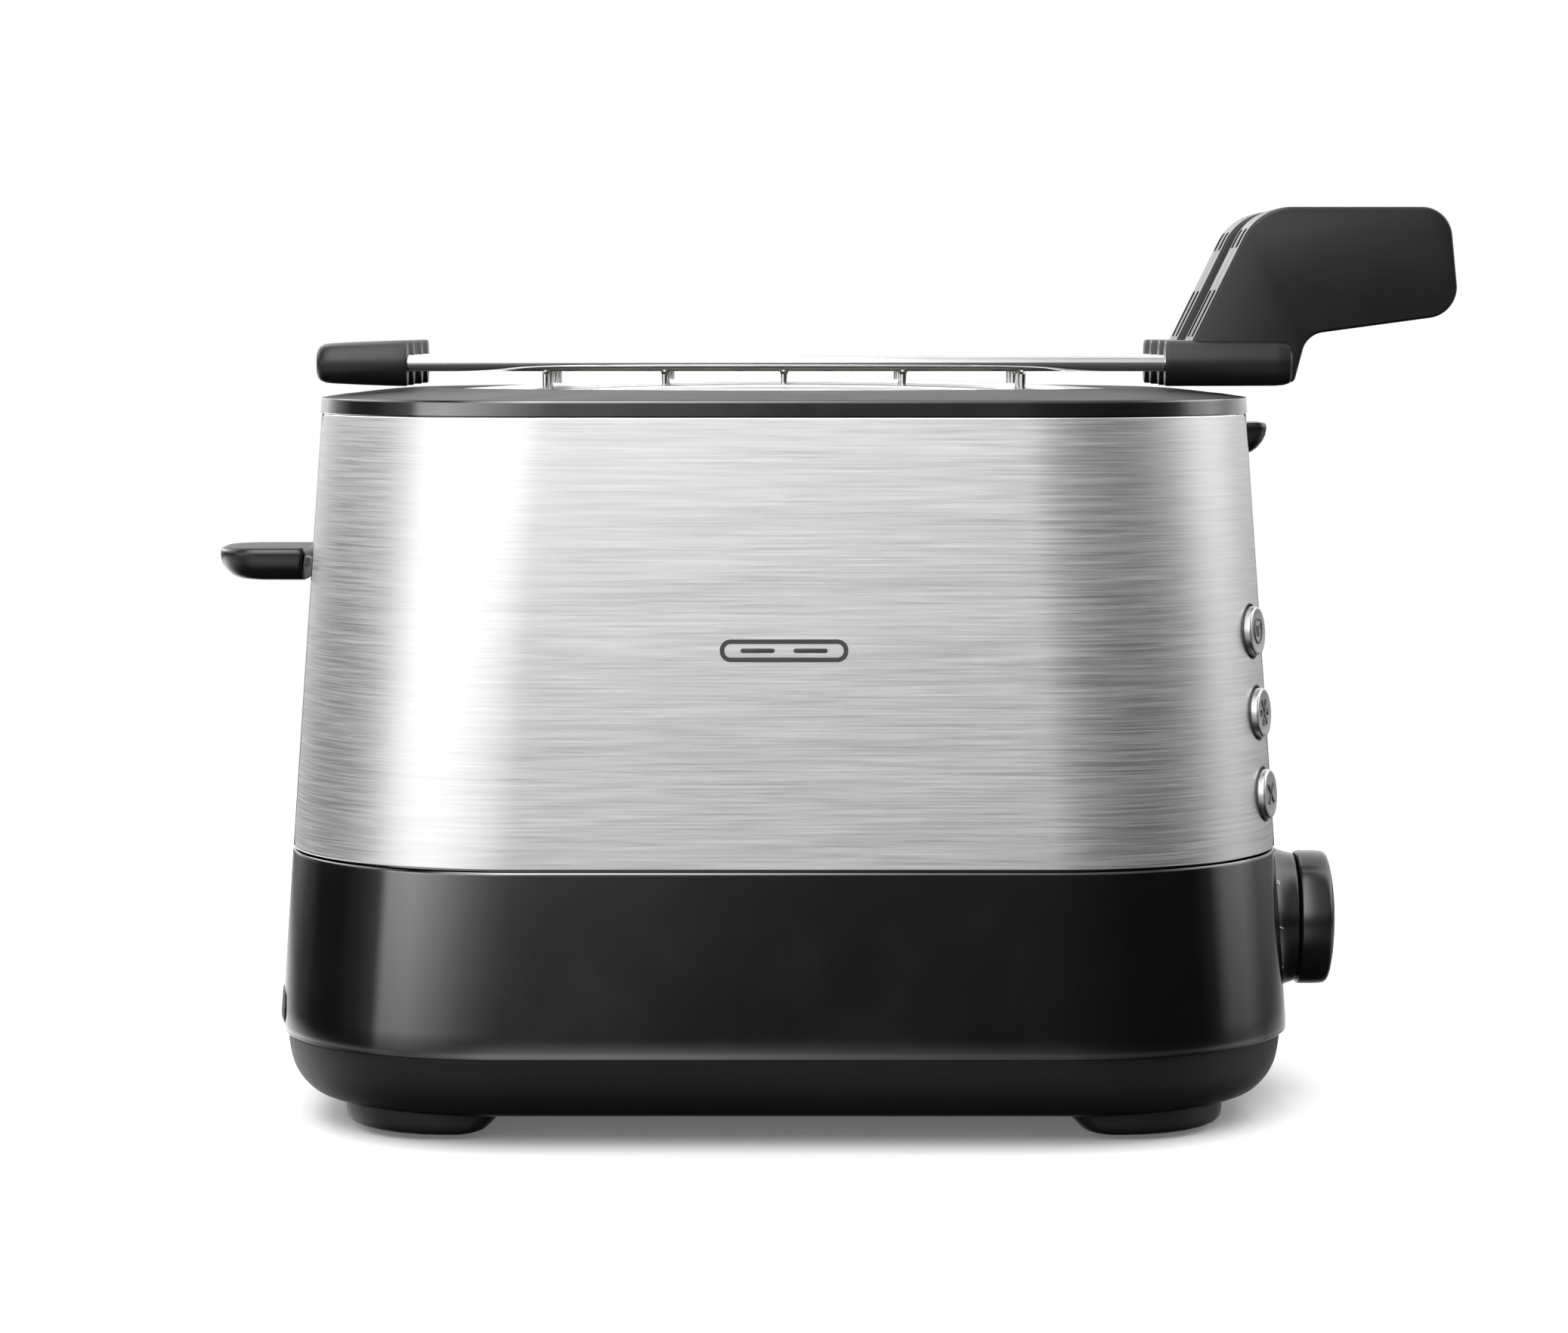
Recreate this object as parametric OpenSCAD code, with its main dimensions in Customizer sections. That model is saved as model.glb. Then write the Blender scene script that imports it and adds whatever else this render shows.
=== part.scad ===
// Two slot pop-up toaster with two lift-out sandwich cages.
// Millimetres. +Z is up, +X points to the browning knob, -Y is the front.
// The origin is the middle of the plane that the rubber feet stand on.

/* [Body] */
// Length of the body at the reference height
body_len = 279.8; // [272:0.2:288]
// Depth of the body at the reference height
body_dep = 187.8; // [182:0.2:194]
// Height at which the length and the depth are measured
ref_z = 33; // [30:1:36]
// How far each end leans in for each millimetre of height
end_lean = 0.0703; // [0.06:0.001:0.08]
// How far the front and the back lean in for each millimetre of height
side_lean = 0.045; // [0.03:0.001:0.055]
// Length of the rounded corner along X
corner_x = 65; // [60:1:70]
// Length of the rounded corner along Y
corner_y = 60; // [55:1:64]

/* [Levels] */
// Top of the base and bottom of the glossy skirt
base_top = 25; // [24:0.5:26]
// Top of the skirt and bottom of the steel wrap
skirt_top = 75; // [73:0.5:77]
// Top of the steel wrap and bottom of the rim
wrap_top = 195.5; // [194:0.5:196]
// Outer edge of the rim
rim_edge = 200; // [199:0.5:201]
// Highest line of the rim, round the metal deck
rim_crest = 202.3; // [202:0.1:202.5]
// Middle of the crowned metal deck
deck_top = 204.8; // [204:0.1:205.2]

/* [Slots] */
// Distance of each bread slot from the middle plane
slot_y = 22.5; // [22:0.1:23]
// Length of a bread slot
slot_len = 155; // [150:1:158]
// Width of a bread slot
slot_w = 36; // [35:0.5:36]

/* [Sandwich cages] */
// Height of the cage rods above the table
rod_z = 209.3; // [208:0.1:210]
// Diameter of the cage rods
rod_d = 4.5; // [4:0.1:4.6]
// Distance between the upright cage wires
wire_pitch = 33; // [31:0.5:33]
// Diameter of the cage wires
wire_d = 1.8; // [1.4:0.1:1.8]
// Distance of the cage's inner grid from the middle plane
grid_in = 12.5; // [12.3:0.1:12.8]
// Distance of the cage's outer grid from the middle plane
grid_out = 32; // [31.5:0.1:32]
// Height of the hinge along the bottom of a cage
cage_hinge_z = 111; // [110.8:0.1:114]

/* [Controls] */
// Travel of the bread lever
lever_travel = 45; // [40:1:45]
// Travel of the bun rack lever
bun_lever_travel = 20; // [18:1:20]
// Height of the browning knob's axis
knob_z = 49.8; // [49:0.1:51]
// Height of the middle button
button_z = 113.9; // [112:0.1:116]
// Distance between buttons
button_pitch = 22.4; // [21.6:0.1:23]
// Diameter of a button
button_d = 13.6; // [13:0.1:14]

/* [Hidden] */
$fn = 48;
CORNER_STEPS = 12;
SHEET = 0.8;
COVER = 2.2;
END_TILT = atan(end_lean);
END_PLATE_X = 86;
PLATE = 1;
SLOT_R = slot_w / 2;
DECK_A = 96;
DECK_B = 60;
CROWN_X = 1396;
CROWN_Y = 692;
LEDGE_Z = 198.2;
RAIL_Y = 46;
RAIL_Z = 201.5;
RAIL_R = 1.5;
RAIL_X = 50;
INNER_RAIL_Y = 7.3;
INNER_RAIL_R = 1.25;
INNER_RAIL_X = 62;
RACK_BAR_Z = 130;
ROCKER_X = 95;
ROCKER_Z = 172;
LEVER_ARM = 25;
RACK_ARM = 35;
PIN_R = 2;
RACK_TRAVEL = bun_lever_travel * RACK_ARM / LEVER_ARM;
ROCKER_TILT = atan(bun_lever_travel / 2 / LEVER_ARM);
WIRE_R = wire_d / 2;
ROD_R = rod_d / 2;
HINGE_R = 1.5;
RUN_FIT = 0.06;
WELD_GAP = 0.02;
BUTTON_Y = 51.5;
BLACK = [0.08, 0.08, 0.09];
MATTE = [0.16, 0.16, 0.16];
STEEL = [0.78, 0.78, 0.79];
SHINY = [0.86, 0.86, 0.88];
MICA = [0.76, 0.70, 0.58];
BOARD = [0.10, 0.35, 0.22];

// ---- plan outline of the body: flat sides joined by elliptical corners ----

function half_x(z) = body_len / 2 - end_lean * (z - ref_z);
function half_y(z) = body_dep / 2 - side_lean * (z - ref_z);

// A station is [kx, ky, angle]: the corner's centre as shares of its place, and the turn round it.
function corner(kx, ky, from, to) =
    [for (i = [0 : CORNER_STEPS]) [kx, ky, from + (to - from) * i / CORNER_STEPS]];

// Stations along one flat side, without its two ends.
function flat_x(ky, angle, n) = [for (i = [1 : 1 : n - 1]) [ky * (1 - 2 * i / n), ky, angle]];
function flat_y(kx, angle, n) = [for (i = [1 : 1 : n - 1]) [kx, -kx * (1 - 2 * i / n), angle]];

// All the way round, counter-clockwise from the front end of the right side.
function all_round(nx = 1, ny = 1) = concat(
    corner(1, 1, 0, 90), flat_x(1, 90, nx),
    corner(-1, 1, 90, 180), flat_y(-1, 180, ny),
    corner(-1, -1, 180, 270), flat_x(-1, 270, nx),
    corner(1, -1, 270, 360), flat_y(1, 360, ny));

function place(s, inset, z) = [
    s[0] * (half_x(z) - corner_x) + (corner_x - inset) * cos(s[2]),
    s[1] * (half_y(z) - corner_y) + (corner_y - inset) * sin(s[2]),
    z];

// The turn round a corner at which the outline reaches a distance y from the middle plane.
function turn_at(y, z) = asin((y - half_y(z) + corner_y) / corner_y);

// A point of an ellipse that lies in the same direction as a station.
function on_ellipse(s, a, b, z) =
    let (p = place(s, 0, rim_edge), t = atan2(p[1] / half_y(rim_edge), p[0] / half_x(rim_edge)))
    [a * cos(t), b * sin(t), z];

function flat_list(rows) = [for (row = rows) for (p = row) p];
function both(a, b, c, d) = [[a, b, c], [a, c, d]];

// Rings joined one to the next; the last joins the first, as on a torus.
module ring_loft(rings) {
    n = len(rings);
    m = len(rings[0]);
    polyhedron(points = flat_list(rings), faces = flat_list([
        for (i = [0 : n - 1]) for (j = [0 : m - 1])
            let (k = (i + 1) % n, l = (j + 1) % m)
            both(i * m + j, k * m + j, k * m + l, i * m + l)]));
}

// Rings joined one to the next, with the first and the last closed by flat ends.
module cup_loft(rings) {
    n = len(rings);
    m = len(rings[0]);
    sides = flat_list([for (i = [0 : n - 2]) for (j = [0 : m - 1])
        let (l = (j + 1) % m)
        both(i * m + j, (i + 1) * m + j, (i + 1) * m + l, i * m + l)]);
    first = [for (j = [1 : m - 2]) [0, j, j + 1]];
    last = [for (j = [1 : m - 2]) [(n - 1) * m, (n - 1) * m + j + 1, (n - 1) * m + j]];
    polyhedron(points = flat_list(rings), faces = concat(sides, first, last));
}

// A sheet that follows the outline over some of its stations.
module panel(stations, z0, z1, inset, thick) {
    m = len(stations);
    rings = [
        [for (s = stations) place(s, inset, z0)],
        [for (s = stations) place(s, inset, z1)],
        [for (s = stations) place(s, inset + thick, z1)],
        [for (s = stations) place(s, inset + thick, z0)]];
    sides = flat_list([for (i = [0 : 3]) for (j = [0 : m - 2])
        let (k = (i + 1) % 4)
        both(i * m + j, k * m + j, k * m + j + 1, i * m + j + 1)]);
    e = m - 1;
    polyhedron(points = flat_list(rings), faces = concat(sides,
        [[3 * m, 2 * m, m], [3 * m, m, 0]],
        [[e, m + e, 2 * m + e], [e, 2 * m + e, 3 * m + e]]));
}

// ---- small helpers ----

function unit(v) = v / norm(v);

// Arc that rounds the corner at b with radius r.
function round_at(a, b, c, r, n = 6) =
    let (u = unit(a - b), v = unit(c - b), open = acos(u * v),
        mid = b + unit(u + v) * r / sin(open / 2),
        from = b + u * r / tan(open / 2) - mid,
        way = cross(b - a, c - b) > 0 ? 1 : -1)
    [for (i = [0 : n]) let (t = way * (180 - open) * i / n)
        mid + [from[0] * cos(t) - from[1] * sin(t), from[0] * sin(t) + from[1] * cos(t)]];

// Outline with rounded corners, from a list of [x, y, radius].
function rounded(c) =
    let (n = len(c))
    [for (i = [0 : n - 1])
        let (a = c[(i + n - 1) % n], b = c[i], d = c[(i + 1) % n])
        for (p = b[2] > 0
            ? round_at([a[0], a[1]], [b[0], b[1]], [d[0], d[1]], b[2])
            : [[b[0], b[1]]]) p];

function ellipse_outline(a, b, n) = [for (i = [0 : n - 1]) [a * cos(360 * i / n), b * sin(360 * i / n)]];

// Children drawn in X and Z, from y0 to y1.
module along_y(y0, y1) {
    translate([0, y1, 0]) rotate([90, 0, 0]) linear_extrude(y1 - y0) children();
}

// Children drawn in Y and Z, from x0 to x1.
module along_x(x0, x1) {
    translate([x0, 0, 0]) rotate([90, 0, 90]) linear_extrude(x1 - x0) children();
}

module block(x0, x1, y0, y1, z0, z1) {
    translate([x0, y0, z0]) cube([x1 - x0, y1 - y0, z1 - z0]);
}

module rod_x(x0, x1, y, z, r) {
    translate([x0, y, z]) rotate([0, 90, 0]) cylinder(h = x1 - x0, r = r);
}

module rod_y(x, y0, y1, z, r) {
    translate([x, y0, z]) rotate([-90, 0, 0]) cylinder(h = y1 - y0, r = r);
}

module rod_z(x, y, z0, z1, r) {
    translate([x, y, z0]) cylinder(h = z1 - z0, r = r);
}

// Race track shape, with its long side along X.
module track(length, width, h) {
    straight = length - width;
    translate([-straight / 2, -width / 2, 0]) cube([straight, width, h]);
    for (side = [-1, 1]) translate([side * straight / 2, 0, 0]) cylinder(h = h, d = width);
}

module four_corners(x, y) {
    for (sx = [-1, 1]) for (sy = [-1, 1]) translate([sx * x, sy * y, 0]) children();
}

// ---- casing ----

FOOT_X = 97.3;
FOOT_Y = 60;
SCREW_X = 55;
SCREW_Y = 68;
GROMMET_X = 15;
GROMMET_Z = 17.5;
FLANGE_R = 6.9;
RIB_TOP = 25.4;

module foot_block() {
    profile = [[74, 9, 0], [77, 5, 3], [86, 1.2, 5], [112, 1.2, 4], [120, 6, 4], [121, 9, 0]];
    intersection() {
        union() for (sy = [-1, 1]) along_y(sy > 0 ? 44 : -78, sy > 0 ? 78 : -44)
            polygon(rounded(profile));
        linear_extrude(20) polygon([for (s = all_round()) let (p = place(s, 17, 12)) [p[0], p[1]]]);
    }
}

module base_tray() {
    rim = all_round();
    levels = [[20, 6.6], [11.5, 8.2], [7.2, 11.4], [4.3, 15], [2.7, 19.6], [1.8, base_top],
        [6, base_top], [6.6, 19.6], [9, 14], [13, 10.6]];
    color(MATTE) difference() {
        union() {
            cup_loft([for (l = levels) [for (s = rim) place(s, l[0], l[1])]]);
            foot_block();
            mirror([1, 0, 0]) foot_block();
            four_corners(SCREW_X, SCREW_Y) cylinder_boss();
            for (sy = [-1, 1]) block(-118, 104, sy > 0 ? 49 : -52, sy > 0 ? 52 : -49, 9.6, RIB_TOP);
        }
        four_corners(FOOT_X, FOOT_Y) {
            cylinder(h = 2.4, d = 11.2);
            cylinder(h = 6, d = 5);
        }
        four_corners(SCREW_X, SCREW_Y) {
            translate([0, 0, -1]) cylinder(h = 10, d = 7.6);
            cylinder(h = 40, d = 3.6);
        }
        rod_y(GROMMET_X, 80, 100, GROMMET_Z, 6);
        rod_y(GROMMET_X, half_y(GROMMET_Z) - 3.55, 100, GROMMET_Z, FLANGE_R + 0.1);
    }
}

module cylinder_boss() {
    translate([0, 0, 7.4]) cylinder(h = base_top - 7.1, d = 10);
}

module rubber_feet() {
    color([0.22, 0.22, 0.22]) four_corners(FOOT_X, FOOT_Y) {
        cylinder(h = 2.4, d = 11);
        cylinder(h = 5.8, d = 4.8);
    }
}

module base_screws() {
    color(STEEL) four_corners(SCREW_X, SCREW_Y) difference() {
        union() {
            translate([0, 0, 6.8]) cylinder(h = 2.2, d = 6.8);
            translate([0, 0, 6.8]) cylinder(h = 26, d = 3.4);
        }
        translate([0, 0, 5]) cylinder(h = 2.8, d = 2.6, $fn = 6);
    }
}

module lower_housing() {
    rim = all_round();
    levels = [[1.4, base_top + 0.2], [0.3, base_top + 0.7], [0, base_top + 2], [0, skirt_top - 1],
        [0.8, skirt_top + 0.2], [2.5, skirt_top + 0.2], [2.5, skirt_top + 5], [3.8, skirt_top + 5],
        [3.2, skirt_top - 2], [3.2, base_top + 0.2]];
    color(BLACK) difference() {
        union() {
            ring_loft([for (l = levels) [for (s = rim) place(s, l[0], l[1])]]);
            for (sx = [-1, 1]) for (sy = [-1, 1])
                translate([sx * SCREW_X, sy * SCREW_Y, 0]) screw_boss(sy);
        }
        along_x(-150, -120) polygon(rounded([[-50.3, 0, 0], [50.3, 0, 0], [50.3, 36.8, 6], [-50.3, 36.8, 6]]));
        rod_x(120, 150, 0, knob_z, 4.2);
        four_corners(SCREW_X, SCREW_Y) translate([0, 0, 20]) cylinder(h = 14, d = 3.4);
    }
}

// Boss for a base screw, with a rib that ties it to the wall; side is the wall's sign in Y.
module screw_boss(side) {
    translate([0, 0, base_top + 0.6]) cylinder(h = 14, d = 9);
    reach = half_y(base_top) - 2.6 - SCREW_Y;
    translate([-1.5, side > 0 ? 0 : -reach, base_top + 0.6]) cube([3, reach, 14]);
}

// Turn of the seam between the steel wrap and an end cover.
SEAM_TURN = turn_at(43, 75);
SEAM_GAP = 0.25;

function wrap_front() = concat(
    [for (i = [0 : CORNER_STEPS]) [-1, -1, 180 + SEAM_TURN + (90 - SEAM_TURN) * i / CORNER_STEPS]],
    [for (i = [0 : CORNER_STEPS]) [1, -1, 270 + (90 - SEAM_TURN) * i / CORNER_STEPS]]);

function end_stations(side) =
    let (t = SEAM_TURN - SEAM_GAP, base = side > 0 ? 0 : 180)
    concat(
        [for (i = [0 : 4]) [side, -side, base - t * (1 - i / 4)]],
        [for (i = [0 : 4]) [side, side, base + t * i / 4]]);

module button_frame(i) {
    z = button_z + button_pitch * (1 - i);
    t = turn_at(BUTTON_Y, z);
    p = place([1, -1, -t], 0, z);
    translate(p) rotate([0, 0, -button_turn(z)]) rotate([0, 90 - END_TILT, 0]) children();
}

// Angle of the wall's normal at the buttons, from +X towards the front.
function button_turn(z) = let (t = turn_at(BUTTON_Y, z)) atan2(sin(t) / corner_y, cos(t) / corner_x);

module steel_wrap_front() {
    color(STEEL) difference() {
        panel(wrap_front(), skirt_top + 0.9, wrap_top - 0.1, 0, SHEET);
        for (i = [0 : 2]) button_frame(i) translate([0, 0, -8]) cylinder(h = 16, r = button_d / 2 + 0.9);
    }
}

module steel_wrap_rear() {
    color(STEEL) mirror([0, 1, 0]) panel(wrap_front(), skirt_top + 0.9, wrap_top - 0.1, 0, SHEET);
}

LEVER_Z = 152.4;

module left_end_cover() {
    color(BLACK) difference() {
        panel(end_stations(-1), skirt_top + 0.9, wrap_top - 0.1, 0, COVER);
        along_x(-150, -115) polygon(rounded([[-5, LEVER_Z - lever_travel - 5, 4.9],
            [5, LEVER_Z - lever_travel - 5, 4.9], [5, LEVER_Z + 5, 4.9], [-5, LEVER_Z + 5, 4.9]]));
    }
}

BUN_Z = 188;

module right_end_cover() {
    color(BLACK) difference() {
        panel(end_stations(1), skirt_top + 0.9, wrap_top - 0.1, 0, COVER);
        along_x(115, 150) polygon(rounded([[-5, BUN_Z - bun_lever_travel - 5, 4.9],
            [5, BUN_Z - bun_lever_travel - 5, 4.9], [5, BUN_Z + 4, 3], [-5, BUN_Z + 4, 3]]));
    }
}

module top_rim() {
    rim = all_round(12, 4);
    outer = [[3.8, wrap_top - 4], [2.5, wrap_top - 4], [2.5, wrap_top + 0.1], [-0.3, wrap_top + 0.1],
        [-0.3, rim_edge - 0.3], [0.2, rim_edge]];
    color(MATTE) ring_loft(concat(
        [for (l = outer) [for (s = rim) place(s, l[0], l[1])]],
        [[for (s = rim) on_ellipse(s, DECK_A + 6, DECK_B + 4.5, rim_crest - 0.1)],
            [for (s = rim) on_ellipse(s, DECK_A + 3.5, DECK_B + 2.6, rim_crest)],
            [for (s = rim) on_ellipse(s, DECK_A + 0.6, DECK_B + 0.6, rim_crest - 1.9)],
            [for (s = rim) on_ellipse(s, DECK_A + 0.6, DECK_B + 0.6, LEDGE_Z)],
            [for (s = rim) on_ellipse(s, DECK_A - 2, DECK_B - 2, LEDGE_Z)],
            [for (s = rim) on_ellipse(s, DECK_A - 2, DECK_B - 2, LEDGE_Z - 1.5)],
            [for (s = rim) on_ellipse(s, DECK_A + 4, DECK_B + 3.4, LEDGE_Z - 1.5)],
            [for (s = rim) place(s, 3.8, wrap_top)]]));
}

// Height of the deck, crowned both ways, and a ring of its points at a share of its full size.
function dome(x, y) = deck_top - x * x / (2 * CROWN_X) - y * y / (2 * CROWN_Y);
function deck_ring(share, inset, drop) = [for (p = ellipse_outline(DECK_A * share - inset, DECK_B * share - inset, 72))
    [p[0], p[1], dome(p[0], p[1]) - drop]];

module slot_cut(grow, z0, z1) {
    for (side = [-1, 1]) translate([0, side * slot_y, z0])
        track(slot_len + 2 * grow, slot_w + 2 * grow, z1 - z0);
}

module top_deck() {
    shares = [0.06, 0.25, 0.45, 0.65, 0.82, 0.93];
    rings = concat(
        [for (k = shares) deck_ring(k, 0, PLATE)], [deck_ring(1, PLATE, PLATE)],
        [[for (p = deck_ring(1, PLATE, 0)) [p[0], p[1], LEDGE_Z]]],
        [[for (p = deck_ring(1, 0, 0)) [p[0], p[1], LEDGE_Z]]],
        [deck_ring(1, 0, 0.5)], [deck_ring(1, 0.5, 0)],
        [for (i = [len(shares) - 1 : -1 : 0]) deck_ring(shares[i], 0, 0)]);
    color(SHINY) difference() {
        union() {
            cup_loft(rings);
            slot_cut(0.6, 192, 202.6);
        }
        slot_cut(0, 180, 220);
        for (side = [-1, 1]) translate([0, side * RAIL_Y, 190])
            track(2 * RAIL_X + 5, 2 * RAIL_R + 1.2, 20);
    }
}

MARK_Z = 134;

// A plain capsule badge: two bars in a frame.
module front_mark() {
    color([0.35, 0.35, 0.36]) translate([0, -half_y(MARK_Z), MARK_Z]) rotate([-atan(side_lean), 0, 0])
        rotate([90, 0, 0]) {
        difference() {
            linear_extrude(0.3) polygon(rounded([[-17, -3, 2.9], [17, -3, 2.9], [17, 3, 2.9], [-17, 3, 2.9]]));
            translate([0, 0, -1]) linear_extrude(3)
                polygon(rounded([[-15.8, -1.8, 1.7], [15.8, -1.8, 1.7], [15.8, 1.8, 1.7], [-15.8, 1.8, 1.7]]));
        }
        for (x = [-7, 7]) translate([x - 4.5, -0.6, 0]) cube([9, 1.2, 0.3]);
    }
}

BEZEL_R = 24;
BEZEL_H = 6.6;
DIAL_FRONT_X = 146.55;

// The bezel flares from the leaning wall to an upright ring behind the knob.
module dial_bezel() {
    profile = [[4.2, 0.02], [4.2, 1.4], [17.2, 1.4], [17.2, BEZEL_H], [18.3, BEZEL_H], [18.9, 4.2],
        [20, 2.2], [21.8, 0.8], [BEZEL_R, 0.02]];
    color(BLACK) ring_loft([for (p = profile) [for (i = [0 : 71])
        let (z = knob_z + p[0] * sin(5 * i), wall = half_x(z))
        [wall + p[1] / BEZEL_H * (DIAL_FRONT_X - wall), p[0] * cos(5 * i), z]]]);
}

module button_rings() {
    color([0.05, 0.05, 0.05]) for (i = [0 : 2]) button_frame(i) difference() {
        translate([0, 0, -4]) cylinder(h = 4.1, r = button_d / 2 + 0.8);
        translate([0, 0, -9]) cylinder(h = 18, r = button_d / 2 + 0.35);
    }
}

module cord_grommet() {
    y = half_y(GROMMET_Z) - 4.4;
    color([0.1, 0.1, 0.1]) difference() {
        union() {
            rod_y(GROMMET_X, y - 8, y + 2, GROMMET_Z, 5.9);
            rod_y(GROMMET_X, y + 0.9, y + 2.8, GROMMET_Z, FLANGE_R);
        }
        rod_y(GROMMET_X, y - 20, y + 20, GROMMET_Z, 3.6);
    }
}

// ---- heating chamber ----

// An end plate stands on the base's two ribs and leaves the crumb tray's way open.
module plate_profile(top) {
    difference() {
        polygon([[-52, RIB_TOP], [-49.4, RIB_TOP], [-49.4, 40], [49.4, 40],
            [49.4, RIB_TOP], [52, RIB_TOP], [52, top], [-52, top]]);
        for (side = [-1, 1]) translate([side * slot_y - 3, 48]) square([6, 64]);
    }
}

SHELF_Z = 42;

module end_plate_left() {
    color(STEEL) {
        along_x(-END_PLATE_X - PLATE, -END_PLATE_X) plate_profile(191);
        difference() {
            union() {
                block(-112, -END_PLATE_X - PLATE, -26, 26, SHELF_Z - 1.2, SHELF_Z);
                block(-112, -END_PLATE_X - PLATE, -26, 26, 189.8, 191);
            }
            for (side = [-1, 1]) rod_z(GUIDE_X, side * GUIDE_Y, 30, 200, 2);
        }
    }
}

module end_plate_right() {
    color(STEEL) {
        difference() {
            along_x(END_PLATE_X, END_PLATE_X + PLATE) plate_profile(191);
            for (side = [-1, 1]) {
                rack_slot(side * RAIL_Y, RAIL_R + 0.5);
                rack_slot(side * INNER_RAIL_Y, INNER_RAIL_R + 0.5);
            }
        }
        rod_x(END_PLATE_X + PLATE, 98.4, 0, ROCKER_Z, 3);
        difference() {
            block(END_PLATE_X + PLATE, 112, -22, 10, 189.8, 191);
            bun_rod(-8, 8, 1.6);
        }
    }
}

module rack_slot(y, half_w) {
    block(80, 95, y - half_w, y + half_w, RACK_BAR_Z - 3, RACK_BAR_Z + RACK_TRAVEL + 3);
}

module reflector(side) {
    color(STEEL) difference() {
        along_x(-END_PLATE_X, END_PLATE_X) polygon(side > 0
            ? [[49.4, 45], [50, 45], [50, 189], [49.4, 189]]
            : [[-50, 45], [-49.4, 45], [-49.4, 189], [-50, 189]]);
        for (k = [-3 : 3]) rod_y(k * 22, -60, 60, 60, 3);
    }
}

CARD_Z0 = 62;
CARD_Z1 = 187;

module heater_card(y) {
    color(MICA) difference() {
        block(-80, 80, y - 0.4, y + 0.4, CARD_Z0, CARD_Z1);
        for (k = [-2 : 2]) rod_y(k * 33, y - 5, y + 5, CARD_Z0 + 8, 2.5);
    }
}

// Flat resistance ribbon wound over a card: level runs on the faces given by sides.
module heater_ribbon(y, sides) {
    color([0.62, 0.60, 0.58]) for (side = sides) for (k = [0 : 10])
        block(-76, 76, y + (side > 0 ? 0.4 : -0.7), y + (side > 0 ? 0.7 : -0.4), 76 + k * 10, 78 + k * 10);
}

GUIDE_WIRE_R = 0.8;

// Upright wires that keep the bread off the heaters, on both sides of one slot.
module bread_guides(side) {
    color(SHINY) for (y = [39.2, 3.4]) {
        for (k = [-2.5 : 1 : 2.5]) rod_z(k * 26, side * y, 58 + GUIDE_WIRE_R, 189, GUIDE_WIRE_R);
        rod_x(-END_PLATE_X, END_PLATE_X, side * y, 57, GUIDE_WIRE_R);
    }
}

GUIDE_X = -102;
GUIDE_Y = 16;
GUIDE_R = 3;

module guide_rods() {
    color(SHINY) for (side = [-1, 1]) {
        rod_z(GUIDE_X, side * GUIDE_Y, SHELF_Z, 189.8, GUIDE_R);
        rod_z(GUIDE_X, side * GUIDE_Y, SHELF_Z - 2.4, 192, 2);
    }
}

KEEPER_Z = 99;
MAGNET_TOP = KEEPER_Z - lever_travel - 0.3;

module latch_magnet() {
    color([0.55, 0.25, 0.12]) {
        block(-108, -96, -7, 7, SHELF_Z, SHELF_Z + 8);
        block(-105, -99, -4, 4, SHELF_Z + 8, MAGNET_TOP);
    }
}

module control_board() {
    color(BOARD) block(112, 113.6, -34, 34, 10.7, 78);
    color(MATTE) {
        block(104, 112, 8, 24, 50, 66);
        block(102, 112, -26, -10, 46, 68);
        rod_x(100, 112, 0, 62, 5);
    }
}

module browning_control() {
    color(MATTE) difference() {
        union() {
            block(113.6, 122, -8.5, 8.5, knob_z - 8.5, knob_z + 8.5);
            rod_x(122, 128, 0, knob_z, 4.4);
        }
        rod_x(116, 130, 0, knob_z, 3.06);
    }
}

TACT_GAP = 15;

module button_board() {
    color(BOARD) button_frame(1) translate([-34, -8, -TACT_GAP - 6.1]) cube([68, 16, 1.6]);
    color(MATTE) for (i = [-1 : 1]) button_frame(1) translate([i * button_pitch - 3, -3, -TACT_GAP - 4.5])
        cube([6, 6, 3]);
}

BUN_ROD_X = 106;
BUN_ROD_Y = -14;
BUN_ROD_R = 2.5;

// A round along the bun lever's line, which leans as the end wall does; heights are from the lever's middle.
module bun_rod(from, to, r) {
    translate([BUN_ROD_X, BUN_ROD_Y, BUN_Z]) rotate([0, -END_TILT, 0]) translate([0, 0, from])
        cylinder(h = to - from, r = r);
}

module bun_guide_rod() {
    color(SHINY) {
        bun_rod(-38, 1.5, BUN_ROD_R);
        bun_rod(1.5, 4.2, 1.6);
    }
}

// ---- crumb tray ----

TRAY_Z = 26;
PAN_X = -132.6;

module crumb_tray_pan() {
    color(STEEL) difference() {
        block(PAN_X, 100, -48, 48, TRAY_Z, TRAY_Z + 6.5);
        block(PAN_X + 1, 99.2, -47.2, 47.2, TRAY_Z + 0.8, TRAY_Z + 10);
    }
}

module crumb_tray_front() {
    t = turn_at(49.8, 30);
    stations = concat(
        [for (i = [0 : 5]) [-1, 1, 180 - t * (1 - i / 5)]],
        [for (i = [0 : 5]) [-1, -1, 180 + t * i / 5]]);
    color(MATTE) {
        intersection() {
            panel(stations, base_top + 2.4, 36.4, -0.3, 5.4);
            along_x(-150, -120) polygon(rounded([[-50, 20, 0], [50, 20, 0], [50, 36.4, 6], [-50, 36.4, 6]]));
        }
        panel(stations, base_top + 0.5, base_top + 2.6, 1, 4);
        block(-136, PAN_X, -30, 30, TRAY_Z + 0.5, TRAY_Z + 6);
    }
}

// ---- bread carriage ----

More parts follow.
